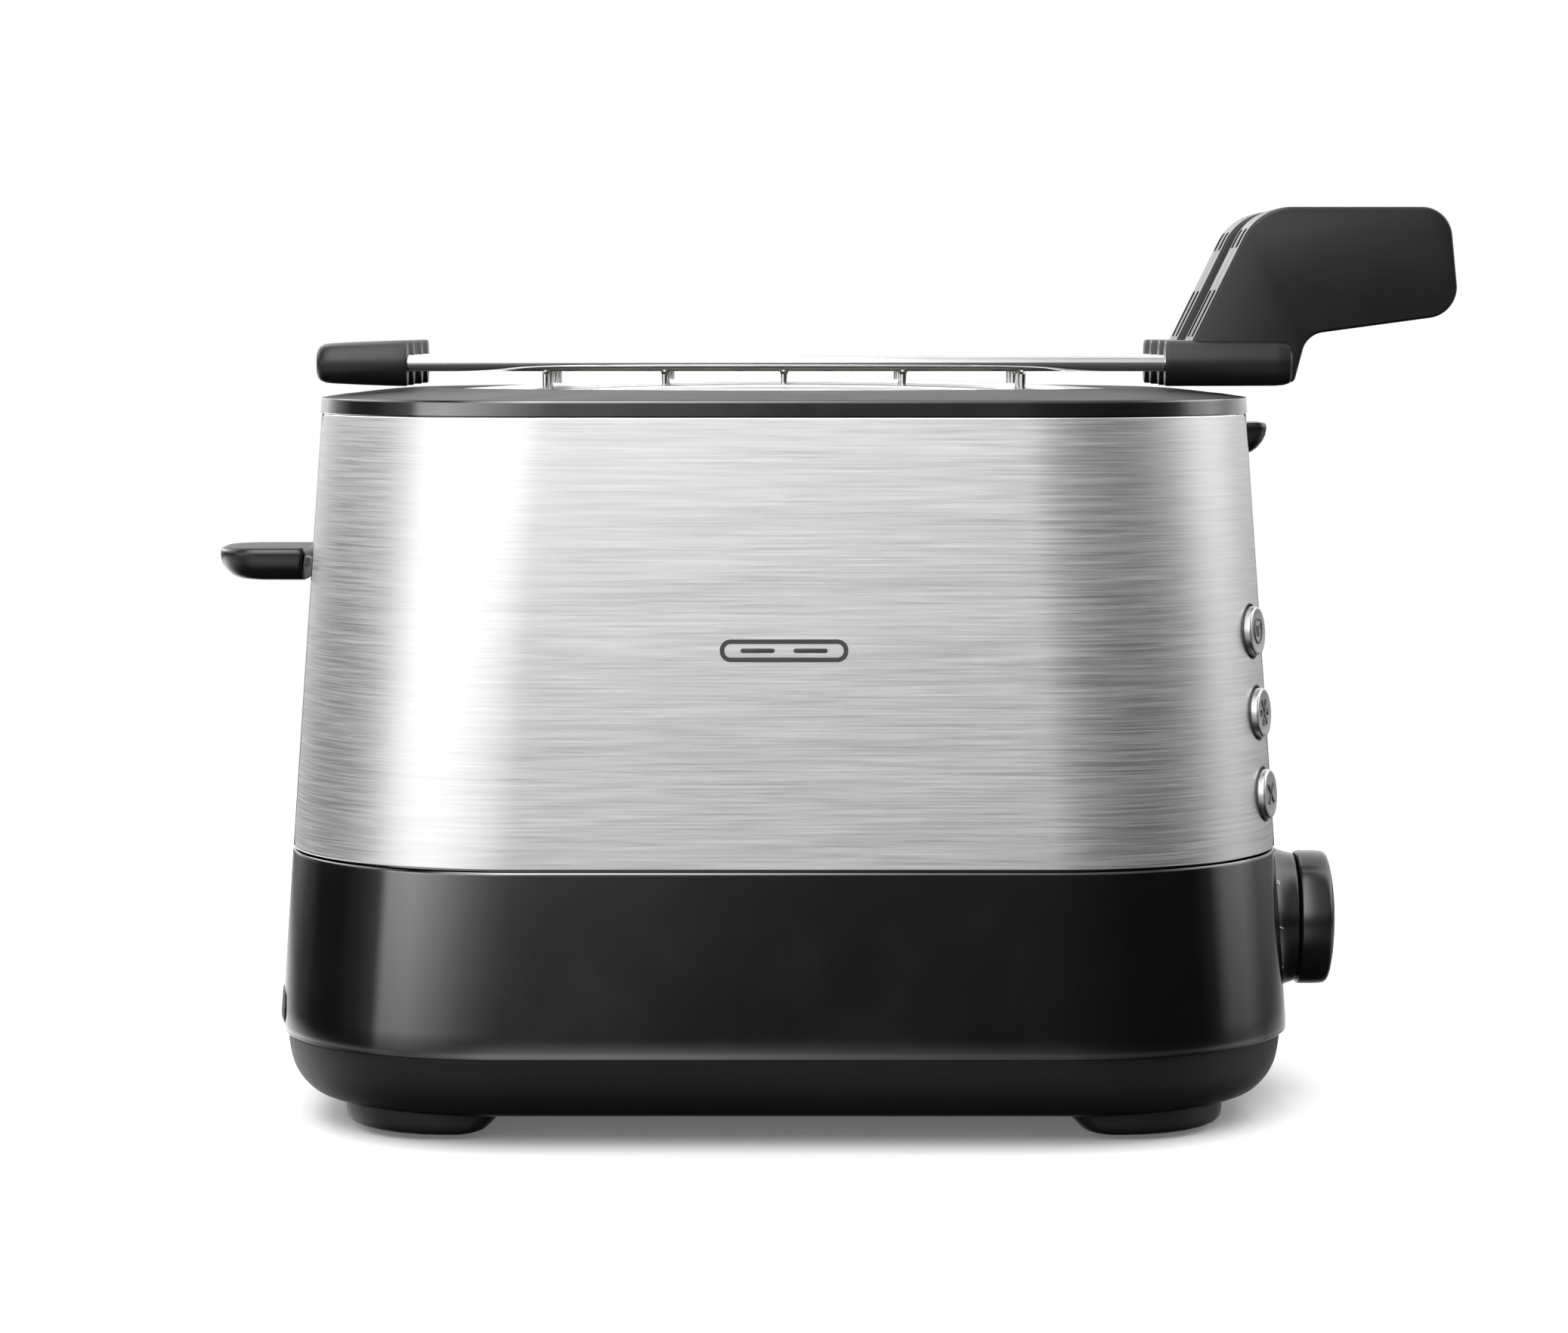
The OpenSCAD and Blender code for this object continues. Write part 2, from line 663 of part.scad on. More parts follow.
module carriage_bracket() {
    color(STEEL) difference() {
        union() {
            block(-97, -95.6, -30, 30, KEEPER_Z + 1.2, KEEPER_Z + 14);
            block(-97, -95.6, -9, 9, KEEPER_Z + 14, LEVER_Z + 3);
            block(-140, -96.2, -3.6, 3.6, LEVER_Z - 1.2, LEVER_Z + 1.2);
            block(-108, -96.2, -8, 8, KEEPER_Z, KEEPER_Z + 2.4);
            for (side = [-1, 1]) {
                rod_z(GUIDE_X, side * GUIDE_Y, KEEPER_Z + 2, KEEPER_Z + 26, 5.4);
                block(GUIDE_X, -95.6, side * GUIDE_Y - 4, side * GUIDE_Y + 4, KEEPER_Z + 4, KEEPER_Z + 13);
            }
        }
        for (side = [-1, 1]) rod_z(GUIDE_X, side * GUIDE_Y, KEEPER_Z - 2, KEEPER_Z + 40, GUIDE_R + RUN_FIT);
    }
}

LIFT_TOP = 106;

// A blade on edge that runs through both end plates, with a narrow shelf for the bread.
module lifter(side) {
    y = side * slot_y;
    color(STEEL) {
        block(-95.6, 90, y - 0.6, y + 0.6, LIFT_TOP - 9, LIFT_TOP - 1);
        difference() {
            block(-74, 74, y - 6, y + 6, LIFT_TOP - 1.6, LIFT_TOP - 0.4);
            for (k = [-3 : 3]) for (s = [-1, 1]) rod_z(k * 20 + 5, y + s * 3.4, 100, 110, 1.4);
        }
    }
}

// Bread lever: flat on top, rounded under its outer edge, round in plan.
module lever_handle() {
    color(BLACK) difference() {
        intersection() {
            along_y(-20, 20) polygon(rounded([[-160.3, 157.1, 1.2], [-160.3, 147.9, 6.5],
                [-135.3, 147.9, 1], [-135.3, 157.1, 1]]));
            translate([0, 0, 140]) linear_extrude(25) polygon(rounded([[-160.3, -17, 10],
                [-160.3, 17, 10], [-135.3, 17, 3], [-135.3, -17, 3]]));
        }
        block(-140, -130, -3.6, 3.6, LEVER_Z - 1.2, LEVER_Z + 1.2);
    }
}

SPRING_Z0 = KEEPER_Z + 26;
SPRING_Z1 = 189.8;
SPRING_R = 4.1;
SPRING_WIRE = 0.5;
SPRING_TURNS = 14;
SPRING_STEPS = 10;

function helix(i) =
    let (t = i / SPRING_STEPS * 360, h = SPRING_Z1 - SPRING_Z0 - 2 * SPRING_WIRE - 0.4)
    [GUIDE_X + SPRING_R * cos(t), -GUIDE_Y + SPRING_R * sin(t),
        SPRING_Z0 + SPRING_WIRE + 0.2 + h * i / (SPRING_TURNS * SPRING_STEPS)];

// Wire wound round the front guide rod.
module return_spring() {
    last = SPRING_TURNS * SPRING_STEPS;
    rings = [for (i = [0 : last])
        let (t = i / SPRING_STEPS * 360, p = helix(i), out = [cos(t), sin(t), 0])
        [for (k = [0 : 5]) p + SPRING_WIRE * (cos(60 * k) * out + sin(60 * k) * [0, 0, 1])]];
    color(STEEL) cup_loft([for (i = [last : -1 : 0]) rings[i]]);
}

// ---- knob and buttons ----

module browning_knob() {
    color(BLACK) difference() {
        union() {
            translate([147, 0, knob_z]) rotate([0, 90, 0]) rotate_extrude()
                polygon([[3, 0], [19.2, 0], [19.2, 8], [18.5, 9.6], [12, 10.6], [3, 11]]);
            rod_x(141.6, 158, 0, knob_z, 6);
        }
        rod_x(140, 155, 0, knob_z, 3);
        block(157.3, 160, -0.7, 0.7, knob_z + 3, knob_z + 17);
    }
}

module knob_shaft() {
    color(STEEL) rod_x(116.5, 155, 0, knob_z, 3);
}

module button(i) {
    color(SHINY) button_frame(i) {
        translate([0, 0, -5]) cylinder(h = 6.2, d = button_d);
        translate([0, 0, 1.2]) cylinder(h = 0.8, d1 = button_d, d2 = button_d - 0.7);
        translate([0, 0, -TACT_GAP]) cylinder(h = TACT_GAP - 4, d = 4);
    }
}

// ---- bun rack ----

WALL_GAP = 0.35;

module bun_lever() {
    pin_z = ROCKER_Z + bun_lever_travel / 2;
    color(BLACK) intersection() {
        along_y(-12, 12) polygon(rounded([[half_x(192.3) + WALL_GAP, 192.3, 0.8],
            [half_x(185.4) + WALL_GAP, 185.4, 1], [131.5, 183.5, 1], [136.8, 187.6, 2], [136.8, 192.3, 1]]));
        translate([0, 0, 180]) linear_extrude(20) polygon(rounded([[125, -11, 0], [134.2, -11, 4],
            [136.8, -4, 6], [136.8, 4, 6], [134.2, 11, 4], [125, 11, 0]]));
    }
    color(STEEL) difference() {
        union() {
            block(101, 131, -3.5, 3.5, BUN_Z - 1, BUN_Z + 1);
            block(100, 101.2, -LEVER_ARM - 5, 6, pin_z - 4, BUN_Z + 1);
            rod_x(92.6, 100.6, -LEVER_ARM, pin_z, PIN_R);
            bun_rod(-10, -1.2, 4.5);
            block(100, BUN_ROD_X, BUN_ROD_Y - 2, BUN_ROD_Y + 2, pin_z - 4, BUN_Z - 1.5);
        }
        bun_rod(-40, 20, BUN_ROD_R + RUN_FIT);
    }
}

// One loop of the rack: a level rail on two legs, welded to a bar that runs to the lifting plate.
module rail(x, y, r) {
    rod_x(-x - r, x + r, y, RAIL_Z, r);
    for (side = [-1, 1]) rod_z(side * x, y, RACK_BAR_Z + r + WELD_GAP, RAIL_Z - r - WELD_GAP, r);
    rod_x(-x - r, 90 - WELD_GAP, y, RACK_BAR_Z, r);
}

module bun_rack() {
    pin_z = ROCKER_Z - bun_lever_travel / 2 * RACK_ARM / LEVER_ARM;
    color(SHINY) {
        for (side = [-1, 1]) {
            rail(RAIL_X, side * RAIL_Y, RAIL_R);
            rail(INNER_RAIL_X, side * INNER_RAIL_Y, INNER_RAIL_R);
        }
        block(90, 91.2, -50, 50, RACK_BAR_Z - 6, RACK_BAR_Z + 6);
        block(90, 91.2, RACK_ARM - 4, RACK_ARM + 4, RACK_BAR_Z + 6, pin_z + 4);
        rod_x(90.6, 97.6, RACK_ARM, pin_z, PIN_R);
    }
}

// Plate that swings on a stud and turns the lever's push into the rack's lift.
module bun_rocker() {
    slot = PIN_R + 0.5;
    color(STEEL) translate([ROCKER_X, 0, ROCKER_Z]) rotate([-ROCKER_TILT, 0, 0]) rotate([90, 0, 90]) difference() {
        linear_extrude(1.5) polygon(rounded([[-34, -5, 3], [0, -8, 6], [44, -5, 3], [44, 5, 3], [0, 8, 6], [-34, 5, 3]]));
        translate([0, 0, -1]) cylinder(h = 4, r = 3 + RUN_FIT);
        translate([-LEVER_ARM - 1.2, 0, -1]) track(9 + 2 * slot - 4, 2 * slot, 4);
        translate([RACK_ARM + 1.6, 0, -1]) track(9 + 2 * slot - 3, 2 * slot, 4);
    }
}

// ---- sandwich cages ----

WIRE_TOP = rod_z - ROD_R - WELD_GAP;
CAGE_HALF = 2 * wire_pitch;
FLOOR_SHIFT = 3.4;
KNUCKLE_HALF = 2;

// The half that hangs in the slot: rod, grid, and floor wires with the hinge's knuckles.
module cage_frame(side) {
    y = side * grid_in;
    out_y = side * grid_out;
    back = side * (grid_in - 2 * WIRE_R - WELD_GAP);
    color(SHINY) {
        rod_x(-118, 132, y, rod_z, ROD_R);
        for (k = [-2 : 2]) {
            x = k * wire_pitch + FLOOR_SHIFT;
            rod_z(k * wire_pitch, y, cage_hinge_z + WIRE_R + WELD_GAP, WIRE_TOP, WIRE_R);
            difference() {
                union() {
                    rod_y(x, min(back - side * WIRE_R, out_y), max(back - side * WIRE_R, out_y), cage_hinge_z, WIRE_R);
                    rod_x(x - KNUCKLE_HALF, x + KNUCKLE_HALF, out_y, cage_hinge_z, HINGE_R + 1.1);
                }
                rod_x(-80, 80, out_y, cage_hinge_z, HINGE_R + RUN_FIT);
            }
        }
        for (z = [cage_hinge_z + 2 * WIRE_R + WELD_GAP, 143, 176])
            rod_x(-CAGE_HALF - 1, CAGE_HALF + FLOOR_SHIFT + 1, back, z, WIRE_R);
    }
}

// The half that opens: rod, grid, and the hinge bar along its lower edge.
module flap_frame(side) {
    y = side * grid_out;
    front = side * (grid_out + 2 * WIRE_R + WELD_GAP);
    color(SHINY) {
        rod_x(-118, 132, y, rod_z, ROD_R);
        for (k = [-2 : 2])
            rod_z(k * wire_pitch, y, cage_hinge_z + HINGE_R + WELD_GAP, WIRE_TOP, WIRE_R);
        rod_x(-CAGE_HALF - 4, CAGE_HALF + 6, y, cage_hinge_z, HINGE_R);
        for (z = [143, 176]) rod_x(-CAGE_HALF - 1, CAGE_HALF + 1, front, z, WIRE_R);
    }
}

CAP_H = 6.35;
CAP_W = 4;

module cap_section() {
    polygon(ellipse_outline(CAP_W, CAP_H, 32));
}

module cage_cap(y) {
    color(MATTE) difference() {
        union() {
            translate([0, y, rod_z]) along_x(-126, -104.3) cap_section();
            translate([0, y, rod_z]) along_x(-129.4, -126) polygon(ellipse_outline(CAP_W - 1.2, CAP_H - 1.4, 32));
        }
        rod_x(-118, -100, y, rod_z, ROD_R);
    }
}

// Grip: a sleeve over the rod's end, and a flat paddle that rises from it.
module cage_handle(y, paddle_y0, paddle_y1) {
    outline = [[111.4, 212.5, 0], [130.85, 252.4, 15], [183.9, 252.4, 8], [187, 222.9, 8],
        [144.8, 217.2, 6], [141.4, 204, 1.4], [137, 204, 1], [137, 212.5, 0]];
    color(MATTE) difference() {
        union() {
            translate([0, y, rod_z]) along_x(105.5, 140.6) cap_section();
            along_y(paddle_y0, paddle_y1) polygon(rounded(outline));
        }
        rod_x(100, 132, y, rod_z, ROD_R);
    }
}

PADDLE_OUT = 33;
PADDLE_IN = 12;
PADDLE_GAP = 0.3;

module inner_handle(side) {
    mid = (PADDLE_OUT + PADDLE_IN) / 2;
    near = PADDLE_IN;
    far = mid - PADDLE_GAP;
    cage_handle(side * grid_in, side > 0 ? near : -far, side > 0 ? far : -near);
}

module outer_handle(side) {
    mid = (PADDLE_OUT + PADDLE_IN) / 2;
    near = mid + PADDLE_GAP;
    far = PADDLE_OUT;
    cage_handle(side * grid_out, side > 0 ? near : -far, side > 0 ? far : -near);
}

base_tray();
rubber_feet();
base_screws();
lower_housing();
steel_wrap_front();
steel_wrap_rear();
left_end_cover();
right_end_cover();
top_rim();
top_deck();
front_mark();
dial_bezel();
button_rings();
cord_grommet();
end_plate_left();
end_plate_right();
reflector(-1);  // reflector_front
reflector(1);  // reflector_rear
heater_card(-41.9);  // heater_card_front
heater_card(0);  // heater_card_centre
heater_card(41.9);  // heater_card_rear
heater_ribbon(-41.9, [1]);  // heater_ribbon_front
heater_ribbon(0, [-1, 1]);  // heater_ribbon_centre
heater_ribbon(41.9, [-1]);  // heater_ribbon_rear
bread_guides(-1);  // bread_guides_front
bread_guides(1);  // bread_guides_rear
guide_rods();
latch_magnet();
control_board();
browning_control();
button_board();
bun_guide_rod();
crumb_tray_pan();
crumb_tray_front();
carriage_bracket();
lifter(-1);  // lifter_front
lifter(1);  // lifter_rear
lever_handle();
return_spring();
browning_knob();
knob_shaft();
button(0);  // button_reheat
button(1);  // button_defrost
button(2);  // button_cancel
bun_lever();
bun_rack();
bun_rocker();
cage_frame(-1);  // front_cage_frame
cage_cap(-grid_in);  // front_cage_cap
inner_handle(-1);  // front_cage_handle
flap_frame(-1);  // front_flap_frame
cage_cap(-grid_out);  // front_flap_cap
outer_handle(-1);  // front_flap_handle
cage_frame(1);  // rear_cage_frame
cage_cap(grid_in);  // rear_cage_cap
inner_handle(1);  // rear_cage_handle
flap_frame(1);  // rear_flap_frame
cage_cap(grid_out);  // rear_flap_cap
outer_handle(1);  // rear_flap_handle
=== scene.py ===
import math

import bmesh
import bpy
from mathutils import Matrix, Vector
from mathutils.geometry import delaunay_2d_cdt


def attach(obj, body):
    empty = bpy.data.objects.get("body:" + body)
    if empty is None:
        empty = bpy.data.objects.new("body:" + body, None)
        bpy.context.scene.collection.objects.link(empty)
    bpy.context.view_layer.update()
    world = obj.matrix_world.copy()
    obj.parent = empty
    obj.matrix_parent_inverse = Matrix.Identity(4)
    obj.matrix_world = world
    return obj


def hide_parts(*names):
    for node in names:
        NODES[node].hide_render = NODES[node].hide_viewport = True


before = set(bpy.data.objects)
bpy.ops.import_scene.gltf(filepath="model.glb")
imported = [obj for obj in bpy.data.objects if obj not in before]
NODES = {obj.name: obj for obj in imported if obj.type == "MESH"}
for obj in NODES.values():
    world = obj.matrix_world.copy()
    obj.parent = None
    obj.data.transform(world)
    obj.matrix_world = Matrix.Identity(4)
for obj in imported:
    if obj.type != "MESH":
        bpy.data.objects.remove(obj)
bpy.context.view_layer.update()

# ---- sizes, in millimetres, as in the CAD model ----
MM = 0.001
FOUR_WAYS = ((-1, -1), (-1, 1), (1, -1), (1, 1))

# body: its length and depth at REF_Z, the lean of its ends and sides, the radii of its corners
BODY_LEN, BODY_DEP, REF_Z = 279.8, 187.8, 33.0
END_LEAN, SIDE_LEAN = 0.0703, 0.045
END_TILT = math.atan(END_LEAN)
CORNER_X, CORNER_Y = 65.0, 60.0
BASE_TOP, SKIRT_TOP, WRAP_TOP, RIM_EDGE, RIM_CREST = 25.0, 75.0, 195.5, 200.0, 202.3

# deck: the ledge it sits on, its crown, its half length and half depth, the crown's radii, the bread slots
LEDGE_Z, DECK_TOP, DECK_A, DECK_B = 198.2, 204.8, 96.0, 60.0
CROWN_X, CROWN_Y = 1396.0, 692.0
SLOT_Y, SLOT_LEN, SLOT_W = 22.5, 155.0, 36.0

# base: feet, screws and the cord's grommet, whose flange sits GROMMET_DEPTH into the wall
FOOT_X, FOOT_Y, SCREW_X, SCREW_Y = 97.3, 60.0, 55.0, 68.0
GROMMET_X, GROMMET_Z, GROMMET_DEPTH = 15.0, 17.5, 3.55
PAN_X = -132.6

# bun rack: outer rails, inner rails and the bars that carry them
RAIL_X, RAIL_Y, RAIL_Z, RAIL_R = 50.0, 46.0, 201.5, 1.5
INNER_RAIL_X, INNER_RAIL_Y, INNER_RAIL_R, RACK_BAR_Z = 62.0, 7.3, 1.25, 130.0

# sandwich cages: rods, wires, the planes of both grids, and the hinge along the bottom
ROD_Z, ROD_R, WIRE_R, WIRE_PITCH = 209.3, 2.25, 0.9, 33.0
GRID_IN, GRID_OUT, HINGE_Z, HINGE_R = 12.5, 32.0, 111.0, 1.5
WIRE_X = [k * WIRE_PITCH for k in range(-2, 3)]
CROSS_Z = (143, 176)
FLOOR_SHIFT = 3.4

# controls: knob and dial, buttons, bread lever, bun rack lever, badge
KNOB_X, KNOB_Z, DIAL_FRONT_X, BEZEL_H = 147.0, 49.8, 146.55, 6.6
BUTTON_Y, BUTTON_Z, BUTTON_PITCH, BUTTON_R = 51.5, 113.9, 22.4, 6.8
LEVER_Z, LEVER_TRAVEL, BUN_Z, BUN_TRAVEL = 152.4, 45.0, 188.0, 20.0
WALL_GAP = 0.35
BADGE_Z = 134.0


# ---- outlines ----
def half_x(z):
    return BODY_LEN / 2 - END_LEAN * (z - REF_Z)


def half_y(z):
    return BODY_DEP / 2 - SIDE_LEAN * (z - REF_Z)


def place(station, inset, z):
    """A point of the body's wall. A station is the corner's centre as shares of its place, and a turn."""
    kx, ky, turn = station
    a = math.radians(turn)
    return (kx * (half_x(z) - CORNER_X) + (CORNER_X - inset) * math.cos(a),
            ky * (half_y(z) - CORNER_Y) + (CORNER_Y - inset) * math.sin(a), z)


def spread(a, b, n):
    return [a + (b - a) * i / n for i in range(n + 1)]


def full_turn(n):
    return spread(0, 2 * math.pi, n)[:-1]


def all_round(n=28, nx=16, ny=8):
    """Stations all the way round, counter-clockwise from the front end of the right side's flat."""
    out = []
    for kx, ky, turn in ((1, 1, 0), (-1, 1, 90), (-1, -1, 180), (1, -1, 270)):
        out += [(kx, ky, t) for t in spread(turn, turn + 90, n)]
        if kx == ky:
            out += [(kx * (1 - 2 * i / nx), ky, turn + 90) for i in range(1, nx)]
        else:
            out += [(kx, ky * (1 - 2 * i / ny), turn + 90) for i in range(1, ny)]
    return out


def turn_at(y, z):
    """The turn round a corner at which the wall is y from the middle plane."""
    return math.degrees(math.asin((y - half_y(z) + CORNER_Y) / CORNER_Y))


def fillet(a, b, c, r, n):
    """Points of the arc that rounds the corner at b."""
    a, b, c = Vector(a), Vector(b), Vector(c)
    u, v = (a - b).normalized(), (c - b).normalized()
    opening = math.acos(max(-1, min(1, u.dot(v))))
    centre = b + (u + v).normalized() * r / math.sin(opening / 2)
    start = b + u * r / math.tan(opening / 2) - centre
    e, f = b - a, c - b
    way = 1 if e.x * f.y - e.y * f.x > 0 else -1
    out = []
    for i in range(n + 1):
        t = way * (math.pi - opening) * i / n
        out.append((centre.x + start.x * math.cos(t) - start.y * math.sin(t),
                    centre.y + start.x * math.sin(t) + start.y * math.cos(t)))
    return out


def rounded(corners, n=8):
    """Outline with rounded corners, from (x, y, radius)."""
    out = []
    for i, (x, y, r) in enumerate(corners):
        before, after = corners[i - 1], corners[(i + 1) % len(corners)]
        out += fillet(before[:2], (x, y), after[:2], r, n) if r > 0 else [(x, y)]
    return out


def rect_ring(x0, x1, y0, y1, z, r0, r1, n):
    """A level rectangle with corners of radius r0 at x0 and r1 at x1."""
    return [(x, y, z) for x, y in rounded([(x0, y0, r0), (x1, y0, r1), (x1, y1, r1), (x0, y1, r0)], n)]


def track(length, width, n=16, straight=12):
    """A slot's outline: two half circles and the straights between them."""
    half, r = (length - width) / 2, width / 2
    out = []
    for way in (1, -1):
        out += [(way * (half + r * math.cos(a)), way * r * math.sin(a))
                for a in spread(-math.pi / 2, math.pi / 2, n)]
        out += [(way * half * (1 - 2 * i / straight), way * r) for i in range(1, straight)]
    return out


def from_ends(points):
    """How far each point of a row lies from the row's nearer end, along the row."""
    run = [0.0]
    for a, b in zip(points, points[1:]):
        run.append(run[-1] + (Vector(b) - Vector(a)).length)
    return [min(d, run[-1] - d) for d in run]


def corner_drop(reach, r):
    """How far a corner of radius r draws an edge in, at a reach from the row's end."""
    return r - math.sqrt(max(0, r ** 2 - (r - reach) ** 2)) if reach < r else 0


def smooth_curve(points, n=5):
    """Catmull-Rom curve through the points."""
    p = [Vector(q) for q in points]
    p = [p[0] * 2 - p[1]] + p + [p[-1] * 2 - p[-2]]
    out = []
    for i in range(1, len(p) - 2):
        for k in range(n):
            t = k / n
            out.append(tuple(0.5 * ((2 * p[i]) + (p[i + 1] - p[i - 1]) * t
                             + (2 * p[i - 1] - 5 * p[i] + 4 * p[i + 1] - p[i + 2]) * t * t
                             + (3 * p[i] - p[i - 1] - 3 * p[i + 1] + p[i + 2]) * t ** 3)))
    out.append(tuple(p[-2]))
    return out


# ---- mesh building ----
def loft(rings, ring_closed=True, row_closed=False, caps=False):
    """Quads between rings of equal length. Returns vertices and faces."""
    m = len(rings[0])
    verts = [v for ring in rings for v in ring]
    faces = []
    rows = len(rings) if row_closed else len(rings) - 1
    for i in range(rows):
        k = (i + 1) % len(rings)
        for j in range(m if ring_closed else m - 1):
            q = (j + 1) % m
            faces.append((i * m + j, k * m + j, k * m + q, i * m + q))
    if caps:
        faces.append(tuple(range(m)))
        faces.append(tuple((len(rings) - 1) * m + j for j in reversed(range(m))))
    return verts, faces


def merged(*parts):
    """Joins several (vertices, faces) into one."""
    verts, faces = [], []
    for v, f in parts:
        faces += [tuple(i + len(verts) for i in face) for face in f]
        verts += list(v)
    return verts, faces


def moved(part, matrix):
    return [tuple(matrix @ Vector(v)) for v in part[0]], part[1]


def mesh_object(name, part):
    me = bpy.data.meshes.new(name)
    me.from_pydata([(x * MM, y * MM, z * MM) for x, y, z in part[0]], [], part[1])
    bm = bmesh.new()
    bm.from_mesh(me)
    bmesh.ops.remove_doubles(bm, verts=bm.verts, dist=1e-7)
    bmesh.ops.recalc_face_normals(bm, faces=bm.faces)
    bm.to_mesh(me)
    bm.free()
    return added(name, me)


def added(name, data):
    """A new object of the scene."""
    obj = bpy.data.objects.new(name, data)
    bpy.context.scene.collection.objects.link(obj)
    return obj


def evaluated_mesh(obj):
    bpy.context.view_layer.update()
    return bpy.data.meshes.new_from_object(obj.evaluated_get(bpy.context.evaluated_depsgraph_get()))


def bake(obj):
    """Applies the object's modifiers."""
    me = evaluated_mesh(obj)
    obj.modifiers.clear()
    obj.data = me
    return obj


def cut(obj, part, mode="DIFFERENCE"):
    """Takes a closed part out of the object, or joins it on."""
    tool = mesh_object("tool", part)
    mod = obj.modifiers.new("cut", "BOOLEAN")
    mod.operation, mod.solver, mod.object = mode, "EXACT", tool
    bake(obj)
    bpy.data.objects.remove(tool)


def bevel(obj, width, segments, angle):
    mod = obj.modifiers.new("bevel", "BEVEL")
    mod.width, mod.segments, mod.angle_limit = width * MM, segments, math.radians(angle)
    mod.limit_method = "ANGLE"
    return bake(obj)


def smooth(obj, angle):
    """Smooth shading, with edges kept sharp above an angle."""
    me = obj.data
    bm = bmesh.new()
    bm.from_mesh(me)
    for e in bm.edges:
        e.smooth = len(e.link_faces) == 2 and e.calc_face_angle(0) < math.radians(angle)
    for f in bm.faces:
        f.smooth = True
    bm.to_mesh(me)
    bm.free()


def piece(obj, body, look, *nodes, slot=None, angle=32):
    """Finishes a piece: shading, material, the body it rides on and the CAD nodes it stands for. Its slot is
    not used.
    """
    smooth(obj, angle)
    obj.data.materials.clear()
    obj.data.materials.append(M[look])
    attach(obj, body)
    if nodes:
        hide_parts(*nodes)
    return obj


def give_grain_and_lit_top(obj, limit=0.55):
    """Gives the faces that look up a grained, rougher finish and a lighter colour: the grain and roughness
    are real texture, the lighter colour is painted light on the tops that face the lamps.
    """
    obj.data.materials.append(M["grain_lit_top"])
    for face in obj.data.polygons:
        face.material_index = 1 if face.normal.z > limit else 0


def lathe(profile, n=96):
    """Turned part about its own Z axis, from (radius, z)."""
    return loft([[(r * math.cos(a), r * math.sin(a), z) for a in full_turn(n)] for r, z in profile])


def plug(r, a, b, n=32):
    """A plain round about its own Z axis, from a to b."""
    return lathe([(0, a), (r, a), (r, b), (0, b)], n)


def turned_ring(profile, n=96):
    """Turned part with a hole through it, from a closed loop of (radius, z)."""
    return loft([[(r * math.cos(a), r * math.sin(a), z) for a in full_turn(n)] for r, z in profile],
                row_closed=True)


def tube(points, r, sides=16):
    """A round wire along points."""
    pts = [Vector(p) for p in points]
    rings, side = [], None
    for i, p in enumerate(pts):
        ahead = (pts[min(i + 1, len(pts) - 1)] - pts[max(i - 1, 0)]).normalized()
        if side is None:
            side = ahead.orthogonal().normalized()
        side = (side - ahead * side.dot(ahead)).normalized()
        up = ahead.cross(side)
        rings.append([tuple(p + r * (math.cos(2 * math.pi * k / sides) * side
                                     + math.sin(2 * math.pi * k / sides) * up)) for k in range(sides)])
    return loft(rings, caps=True)


def bent(points, radius, n=6):
    """A path through points with its corners bent to a radius."""
    p = [Vector(q) for q in points]
    out = [p[0]]
    for i in range(1, len(p) - 1):
        u, v = (p[i - 1] - p[i]).normalized(), (p[i + 1] - p[i]).normalized()
        opening = u.angle(v)
        reach = radius / math.tan(opening / 2)
        centre = p[i] + (u + v).normalized() * radius / math.sin(opening / 2)
        a, b = p[i] + u * reach - centre, p[i] + v * reach - centre
        out += [centre + a.slerp(b, k / n) for k in range(n + 1)]
    out.append(p[-1])
    return out


def prism(outline, z0, z1):
    return loft([[(x, y, z0) for x, y in outline], [(x, y, z1) for x, y in outline]], caps=True)


def rounded_box(x0, x1, y0, y1, z0, z1, r, edge):
    """A block with plan corners of radius r and rolled upper and lower edges."""
    turns = [math.radians(a) for a in spread(0, 90, 4)]
    rolled = [(edge - edge * math.sin(a), edge - edge * math.cos(a)) for a in turns]
    levels = [(inset, z0 + rise) for inset, rise in rolled]
    levels += [(inset, z1 - rise) for inset, rise in reversed(rolled)]
    rings = []
    for inset, z in levels:
        k = max(r - inset, 0.05)
        rings.append(rect_ring(x0 + inset, x1 - inset, y0 + inset, y1 - inset, z, k, k, 6))
    return loft(rings, caps=True)


ALONG_X = Matrix(((0, 0, 1, 0), (1, 0, 0, 0), (0, 1, 0, 0), (0, 0, 0, 1)))
ALONG_Y = Matrix(((1, 0, 0, 0), (0, 0, -1, 0), (0, 1, 0, 0), (0, 0, 0, 1)))


def along_x(x, y, z):
    """Frame at a point, with its Z axis along X."""
    return Matrix.Translation((x, y, z)) @ ALONG_X


# ---- materials ----
COARSE_SHARE = 0.3


